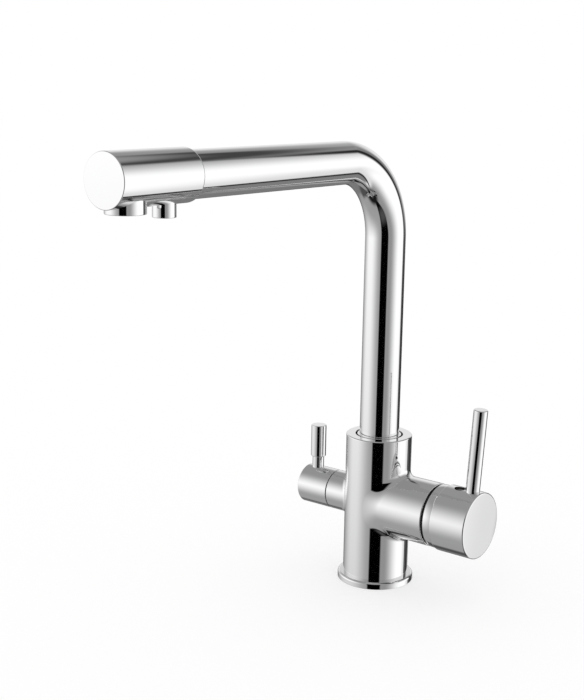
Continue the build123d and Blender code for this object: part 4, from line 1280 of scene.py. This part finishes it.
# ---------------------------------------------------------------- the turned pieces, one by one
def base_ring() -> Piece:
    """Draws the ring that the body stands in, with the groove for its seal.

    Returns:
        The piece.
    """
    bore, radius, top = 21.05, 26.75, TAP.ring_height
    groove_start, groove_end, groove_depth = 23.0, 25.65, 1.4
    foot_edge, top_edge = 0.25, 1.7
    profile = rounded(
        (0.0, bore), (0.0, groove_start), (groove_depth, groove_start), (groove_depth, groove_end),
        (0.0, groove_end), (0.0, radius, foot_edge), (top, radius, top_edge), (top, bore), (0.0, bore),
        steps=8,
    )
    return Turned("tap_base_ring", "base_ring", "tap_body", UPRIGHT, profile, pieces=160)


def collar() -> Piece:
    """Draws the ring round the spout in the body's top.

    Returns:
        The piece.
    """
    radius, bore, height = 15.4, 13.85, 6
    edge, bore_edge = 0.3, 0.15
    top, bottom = TAP.body_height, TAP.body_height - height
    profile = rounded(
        (bottom, bore), (bottom, radius), (top, radius, edge), (top, bore, bore_edge), (bottom, bore)
    )
    return Turned("tap_collar", "collar_ring", "tap_body", UPRIGHT, profile)


def pivot_angle(place: float, ball: float) -> float:
    """Gives the angle at which a ball about the mixer's pivot reaches a place on its axis, in degrees."""
    return math.degrees(math.acos((place - TAP.pivot) / ball))


def cover_ring() -> Piece:
    """Draws the ball-shaped ring that the mixer's cap tips over.

    Returns:
        The piece.
    """
    ball, start, end, edge = 22.0, 51.8, 63.4, 0.25
    bore, bore_edge, bore_end, neck = 19.0, 0.2, 56.5, 20.0
    edge_angle, end_angle = pivot_angle(start + edge, ball - edge), pivot_angle(end, ball)
    edge_radius = (ball - edge) * math.sin(math.radians(edge_angle))
    end_radius = ball * math.sin(math.radians(end_angle))
    profile = [
        *rounded((end, neck), (bore_end, bore), (start, bore, bore_edge), (start, edge_radius)),
        arc((start + edge, edge_radius), edge, 180, edge_angle, steps=4),
        arc((TAP.pivot, 0.0), ball, edge_angle, end_angle, steps=14),
        *rounded((end, end_radius), (end, neck)),
    ]
    return Turned("tap_cover_ring", "mixer_cover_ring", "tap_body", MIXER, profile, pieces=144)


def mixer_cap() -> Piece:
    """Draws the mixer's cap with its socket, the hole for the plug and the hole for the lever.

    Returns:
        The piece.
    """
    radius, start, end, edge = 22.9, 57.8, 84.4, 0.35
    split, socket_end, ball = 71.65, 69.5, 22.45
    neck_start, neck, bore_end, bore = 63.6, 8.0, 74.5, 5.7
    face = dome(end, radius, rise=0.35, edge=1.0)
    lip_angle, socket_angle = pivot_angle(start, ball), pivot_angle(socket_end, ball)
    lip, socket = (ball * math.sin(math.radians(angle)) for angle in (lip_angle, socket_angle))
    # The socket and bore inside the cap are unplated and painted dark, as shade.
    inner = rounded(
        (bore_end, 0.0), (bore_end, bore), (neck_start, bore), (neck_start, neck), (socket_end, neck),
        (socket_end, socket),
    )
    inner.append(arc((TAP.pivot, 0.0), ball, socket_angle, lip_angle, steps=10, hollow=True))
    holes = (
        Hole(TAP.plug_place, 4.0, side=(start + edge, split), floor=TAP.plug_floor),
        Hole(TAP.lever_place, 4.86, TAP.lever_lean, side=(split, face[0, 0]), floor=TAP.lever_floor),
    )
    rim = up_to_side((start, lip), (start, radius, edge))
    return Capped("tap_mixer_cap", "mixer_cap", "mixer_handle", MIXER, radius, rim, [face], inner, holes)


def mixer_lever() -> Piece:
    """Draws the mixer's rod lever.

    Returns:
        The piece.
    """
    radius, end, edge = 4.8, 80.2, 0.7
    lean = math.radians(TAP.lever_lean)
    line = Line((TAP.lever_place, 0, TAP.side_height), (math.sin(lean), 0, math.cos(lean)), (0, -1, 0))
    profile = rounded((TAP.lever_floor, 0.0), (TAP.lever_floor, radius), (end, radius, edge), (end, 0.0))
    return Turned("tap_mixer_lever", "mixer_lever", "mixer_handle", line, profile, pieces=64)


def index_plug() -> Piece:
    """Draws the dark plug over the grub screw: a button in a shallow recess.

    Returns:
        The piece.
    """
    floor, radius, shoulder, shoulder_edge = TAP.plug_floor, 3.97, 21.35, 0.1
    recess_radius, recess_floor, button_radius = 3.3, 21.2, 2.5
    button = dome(22.2, button_radius, rise=0.55, edge=0.3)
    line = Line((TAP.plug_place, 0, TAP.side_height), (0, 0, 1), (1, 0, 0))
    foot = rounded(
        (floor, 0.0), (floor, radius), (shoulder, radius, shoulder_edge), (shoulder, recess_radius),
        (recess_floor, button_radius), (button[0, 0], button_radius),
    )
    return Turned(
        "tap_index_plug", "mixer_index_plug", "mixer_handle", line, [*foot, button],
        pieces=48, finish=Kit.DARK_PLASTIC,
    )


def filter_knob() -> Piece:
    """Draws the filter handle's knob with the hole for its lever.

    Returns:
        The piece.
    """
    radius, start, end, back_edge, front_edge = 14.0, 35.9, 61.2, 0.3, 0.9
    bore, bore_end, bore_edge = 12.2, 46.5, 0.3
    plated = radius - back_edge
    back = up_to_side((start, plated), (start, radius, back_edge))
    front = past_side((end, radius, front_edge), (end, 0.0))
    # The knob's back face and bore are unplated and painted dark, as the shade in the gap at the stub.
    inner = rounded((bore_end, 0.0), (bore_end, bore), (start, bore, bore_edge), (start, plated))
    side = (start + back_edge, end - front_edge)
    hole = Hole(TAP.knob_lever_place, 4.3, side=side, floor=TAP.knob_lever_floor)
    return Capped(
        "tap_filter_knob", "filter_knob", "filter_handle", FILTER, radius, back, front, inner, (hole,)
    )


def filter_lever() -> Piece:
    """Draws the filter handle's lever with its two thicknesses.

    Returns:
        The piece.
    """
    floor, foot_radius, step, foot_edge = TAP.knob_lever_floor, 4.25, 21.9, 0.15
    radius, end, step_edge, edge = 5.5, 45.3, 0.7, 0.5
    line = Line((-TAP.knob_lever_place, 0, TAP.side_height), (0, 0, 1), (1, 0, 0))
    profile = rounded(
        (floor, 0.0), (floor, foot_radius), (step, foot_radius, foot_edge), (step, radius, step_edge),
        (end, radius, edge), (end, 0.0),
    )
    return Turned("tap_filter_lever", "filter_lever", "filter_handle", line, profile, pieces=64)


def hole_threads() -> tuple[Threads, Threads]:
    """Gives the threads of the three inlets and of the stud hole.

    Returns:
        The two sets of threads.
    """
    far = TAP.hole_offset
    inlets, stud = ((far, -far), (far, far), (-far, far)), ((-far, -far),)
    return (
        Threads("tap_inlet_threads", inlets, crest=4.5, root=Casting.inlet_root, pitch=1.0, turns=11),
        Threads("tap_stud_threads", stud, crest=3.4, root=Casting.stud_root, pitch=1.25, turns=9),
    )


# ---------------------------------------------------------------- studio
@dataclass(frozen=True)
class Card:
    """A soft-edged bright or dark card of the studio, by the directions of its edges from the tap.

    Attributes:
        name: what it is.
        left: bearing of its left edge, in degrees from the camera's direction, positive to the right of
            the camera.
        right: bearing of its right edge.
        bottom: height of its lower edge, in degrees above the horizon.
        top: height of its upper edge.
        level: brightness, 1 is white.
        soft: degrees over which its side edges fade.
        soft_height: degrees over which its lower and upper edges fade.
    """

    name: str
    left: float
    right: float
    bottom: float
    top: float
    level: float
    soft: float
    soft_height: float


@dataclass
class Studio:
    """A white studio, its floor and the photograph's camera.

    Attributes:
        eye: where the camera is.
        target: the place in the middle of its view.
        roll: degrees that it is turned about its view.
        focal_pixels: its focal length, in pixels of the photograph.
        frame_pixels: the photograph's width and height.
        sensor: the camera's sensor, along the photograph's longer side.
        clip: the nearest and the farthest distance that it sees, in metres.
        floor_radius: radius of the floor.
        floor_drop: how far the floor lies under the tap, so that their faces don't coincide.
        floor_sides: how many sides the floor has.
        floor_glow: how much of the floor's white is its own light, which thins the shadow.
        surround: brightness of the studio between its cards, as reflections show it.
        cards: the cards, each over the ones before it.
    """

    eye: Place = (484.6, -718.1, 352.6)
    target: Place = (-49.2, -38.2, 165.0)
    roll: float = 0.94
    focal_pixels: float = 1275.6
    frame_pixels: tuple[int, int] = (584, 700)
    sensor: float = 36.0
    clip: Point = (0.01, 50.0)
    floor_radius: float = 8000.0
    floor_drop: float = 0.15
    floor_sides: int = 96
    floor_glow: float = 0.6
    surround: float = 0.31
    cards: tuple[Card, ...] = (
        Card("left reflector", -150, -20, -65, 15, 0.36, 30, 30),
        Card("left window", -132, -57, -20, 26, 1.2, 60, 56),
        Card("right reflector", 5, 60, -65, 0, 0.3, 10, 30),
        Card("right window", 54, 145, -48, 26, 1.12, 56, 40),
        Card("right window's blind", 106, 145, -65, -12, 0.8, 16, 14),
        Card("black flag beside the camera", -27, 13, -90, 32, 0.0, 5, 20),
        Card("sheen under the flag", -22, 14, -58, -34, 0.07, 20, 20),
        Card("grey corner at the back", 119, 152, -55, 36, 0.22, 6, 12),
        Card("dark gap in the corner", 121, 131, -4, 36, 0.02, 6, 8),
        Card("dark joint below the gap", 118, 123, -65, -2, 0.02, 3, 8),
        Card("dark cupboard in the corner", 126, 150, -30, -5, 0.04, 8, 8),
        Card("dark rail", 114, 160, 37, 44, 0.06, 12, 6),
        Card("grey back wall", 152, 200, -50, -6, 0.2, 14, 10),
        Card("white back wall", 144, 212, -2, 25, 0.85, 14, 24),
        Card("dark skirting", 138, 192, -17, -7, 0.04, 10, 8),
        Card("dark ground at the back", 152, 215, -90, -48, 0.08, 20, 10),
        Card("table top", -180, 180, -90, -72, 0.01, 2, 14),
    )

    def camera(self) -> None:
        """Sets up the camera at the photograph's viewpoint."""
        eye, target = Vector(self.eye) * MM, Vector(self.target) * MM
        back = (eye - target).normalized()
        right = Vector((0, 0, 1)).cross(back).normalized()
        up = back.cross(right)
        turn = math.radians(self.roll)
        side = right * math.cos(turn) + up * math.sin(turn)
        top = up * math.cos(turn) - right * math.sin(turn)
        data = bpy.data.cameras.new("photo_camera")
        data.sensor_width = self.sensor
        data.lens = self.focal_pixels / max(self.frame_pixels) * self.sensor
        data.clip_start, data.clip_end = self.clip
        camera = bpy.data.objects.new("photo_camera", data)
        camera.matrix_world = Matrix((side, top, back)).transposed().to_4x4()
        camera.location = eye
        bpy.context.scene.collection.objects.link(camera)
        bpy.context.scene.camera = camera

    def bearing_zero(self) -> float:
        """Gives the direction of the camera seen from the tap, in degrees from +X."""
        return math.degrees(math.atan2(self.eye[1] - self.target[1], self.eye[0] - self.target[0]))

    def card_mask(self, tree: Tree, card: Card, direction: object, height: object) -> bpy.types.Node:
        """Works out how much of a card shows in a direction.

        Args:
            tree: the world's nodes.
            card: the card.
            direction: socket with the direction.
            height: socket with the direction's height in degrees.

        Returns:
            A node that gives 0 to 1.
        """
        turned = tree.add(
            "ShaderNodeVectorRotate",
            {"rotation_type": "Z_AXIS"},
            Vector=direction,
            Angle=-math.radians(self.bearing_zero() + (card.left + card.right) / 2),
        )
        parts = tree.add("ShaderNodeSeparateXYZ", Vector=turned)
        aside = tree.math("ARCTAN2", parts.outputs["Y"], parts.outputs["X"])
        bearing = tree.math("DEGREES", tree.math("ABSOLUTE", aside))
        above = tree.math("ABSOLUTE", tree.math("SUBTRACT", height, (card.bottom + card.top) / 2))
        sides = (bearing, (card.right - card.left) / 2, card.soft)
        ends = (above, (card.top - card.bottom) / 2, card.soft_height)
        masks = []
        for value, half, soft in (sides, ends):
            masks.append(
                tree.add(
                    "ShaderNodeMapRange",
                    {"interpolation_type": "SMOOTHSTEP"},
                    Value=value,
                    From_Min=half + soft / 2,
                    From_Max=half - soft / 2,
                )
            )
        return tree.math("MULTIPLY", *masks)

    def world(self) -> None:
        """Makes the world: white for the camera and for soft light, with the cards in reflections."""
        world = bpy.data.worlds.new("studio")
        bpy.context.scene.world = world
        world.use_nodes = True
        world.cycles.sampling_method = "NONE"
        tree = Tree(world.node_tree)
        direction = tree.add("ShaderNodeTexCoord").outputs["Generated"]
        z = tree.add("ShaderNodeSeparateXYZ", Vector=direction).outputs["Z"]
        height = tree.math("DEGREES", tree.math("ARCSINE", z))
        level: object = self.surround
        for card in self.cards:
            level = tree.mix(self.card_mask(tree, card, direction, height), level, card.level)
        glossy = tree.add("ShaderNodeLightPath").outputs["Is Glossy Ray"]
        light = tree.add("ShaderNodeBackground", Color=(1, 1, 1, 1), Strength=tree.mix(glossy, 1.0, level))
        out = tree.add("ShaderNodeOutputWorld")
        tree.put(out.inputs["Surface"], light)

    def floor_finish(self) -> bpy.types.Material:
        """Makes the floor's material: white with a thin shadow, and clear in reflections.

        Returns:
            The material.
        """
        material = bpy.data.materials.new("pale_floor")
        material.use_nodes = True
        tree = Tree(material.node_tree)
        glossy = tree.add("ShaderNodeLightPath").outputs["Is Glossy Ray"]
        matt = tree.add("ShaderNodeBsdfDiffuse", Color=(1, 1, 1, 1))
        white = tree.add("ShaderNodeEmission", Color=(1, 1, 1, 1), Strength=1.0)
        lit = tree.add("ShaderNodeMixShader", i0=self.floor_glow, i1=matt, i2=white)
        clear = tree.add("ShaderNodeBsdfTransparent")
        seen = tree.add("ShaderNodeMixShader", i0=glossy, i1=lit, i2=clear)
        out = tree.add("ShaderNodeOutputMaterial")
        tree.put(out.inputs["Surface"], seen)
        return material

    def floor(self) -> None:
        """Makes the floor, a disc of triangles round its middle."""
        radius, low, sides = self.floor_radius * MM, -self.floor_drop * MM, self.floor_sides
        angles = [2 * math.pi * k / sides for k in range(sides)]
        points = [(0.0, 0.0, low), *((radius * math.cos(a), radius * math.sin(a), low) for a in angles)]
        mesh = bpy.data.meshes.new("floor")
        mesh.from_pydata(points, [], [(0, k + 1, (k + 1) % sides + 1) for k in range(sides)])
        mesh.materials.append(self.floor_finish())
        floor = bpy.data.objects.new("floor", mesh)
        bpy.context.scene.collection.objects.link(floor)

    def build(self) -> None:
        """Makes the camera, the floor and the world."""
        bpy.context.scene.view_settings.view_transform = "Standard"
        self.camera()
        self.floor()
        self.world()


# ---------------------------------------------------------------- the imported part
NODE_FINISHES: dict[Kit, tuple[str, ...]] = {
    Kit.BRASS: ("filter_nipple", "spout_insert", "mixer_nut", "filter_headwork", "filter_spindle"),
    Kit.STEEL: ("mixer_pivot_pin", "mixer_spindle", "mixer_grub_screw", "filter_clip"),
    Kit.CERAMIC: ("mixer_fixed_disc", "mixer_moving_disc", "filter_fixed_disc", "filter_moving_disc"),
    Kit.WHITE_PLASTIC: (
        "aerator_core", "cartridge_base", "cartridge_housing", "glide_ring", "foot_ring",
        "filter_connector", "filter_elbow",
    ),
    Kit.GREY_PLASTIC: ("aerator_cage", "filter_insert", "mixer_rotor", "mixer_slider"),
    Kit.HOSE: ("filter_hose",),
    Kit.RUBBER: (
        "base_gasket", "collar_seal", "mixer_groove_ring", "spout_o_rings", "aerator_washer",
        "cartridge_seals", "filter_seat_seal", "filter_stem_o_ring",
    ),
}


def dress_nodes(nodes: dict[str, bpy.types.Object], materials: dict[Kit, bpy.types.Material]) -> None:
    """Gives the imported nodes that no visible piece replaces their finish.

    Args:
        nodes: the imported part's objects by name.
        materials: the finishes' materials.
    """
    for finish, names in NODE_FINISHES.items():
        for name in names:
            node = nodes[name]
            node.data.materials.clear()
            node.data.materials.append(materials[finish])


def main() -> None:
    """Builds the scene."""
    logging.basicConfig(level=logging.INFO, format="%(message)s")
    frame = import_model()
    materials = {finish: finish.value.build() for finish in Kit}
    Studio().build()
    dress_nodes(frame["nodes"], materials)
    pieces = [Casting(), Tube(), SpoutHead(), base_ring(), collar(), cover_ring(), mixer_cap()]
    pieces += [mixer_lever(), index_plug(), filter_knob(), filter_lever()]
    for piece in pieces:
        piece.build(materials)
    for threads in hole_threads():
        threads.build(materials[Kit.BRASS])
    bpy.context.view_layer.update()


if __name__ == "__main__":
    main()
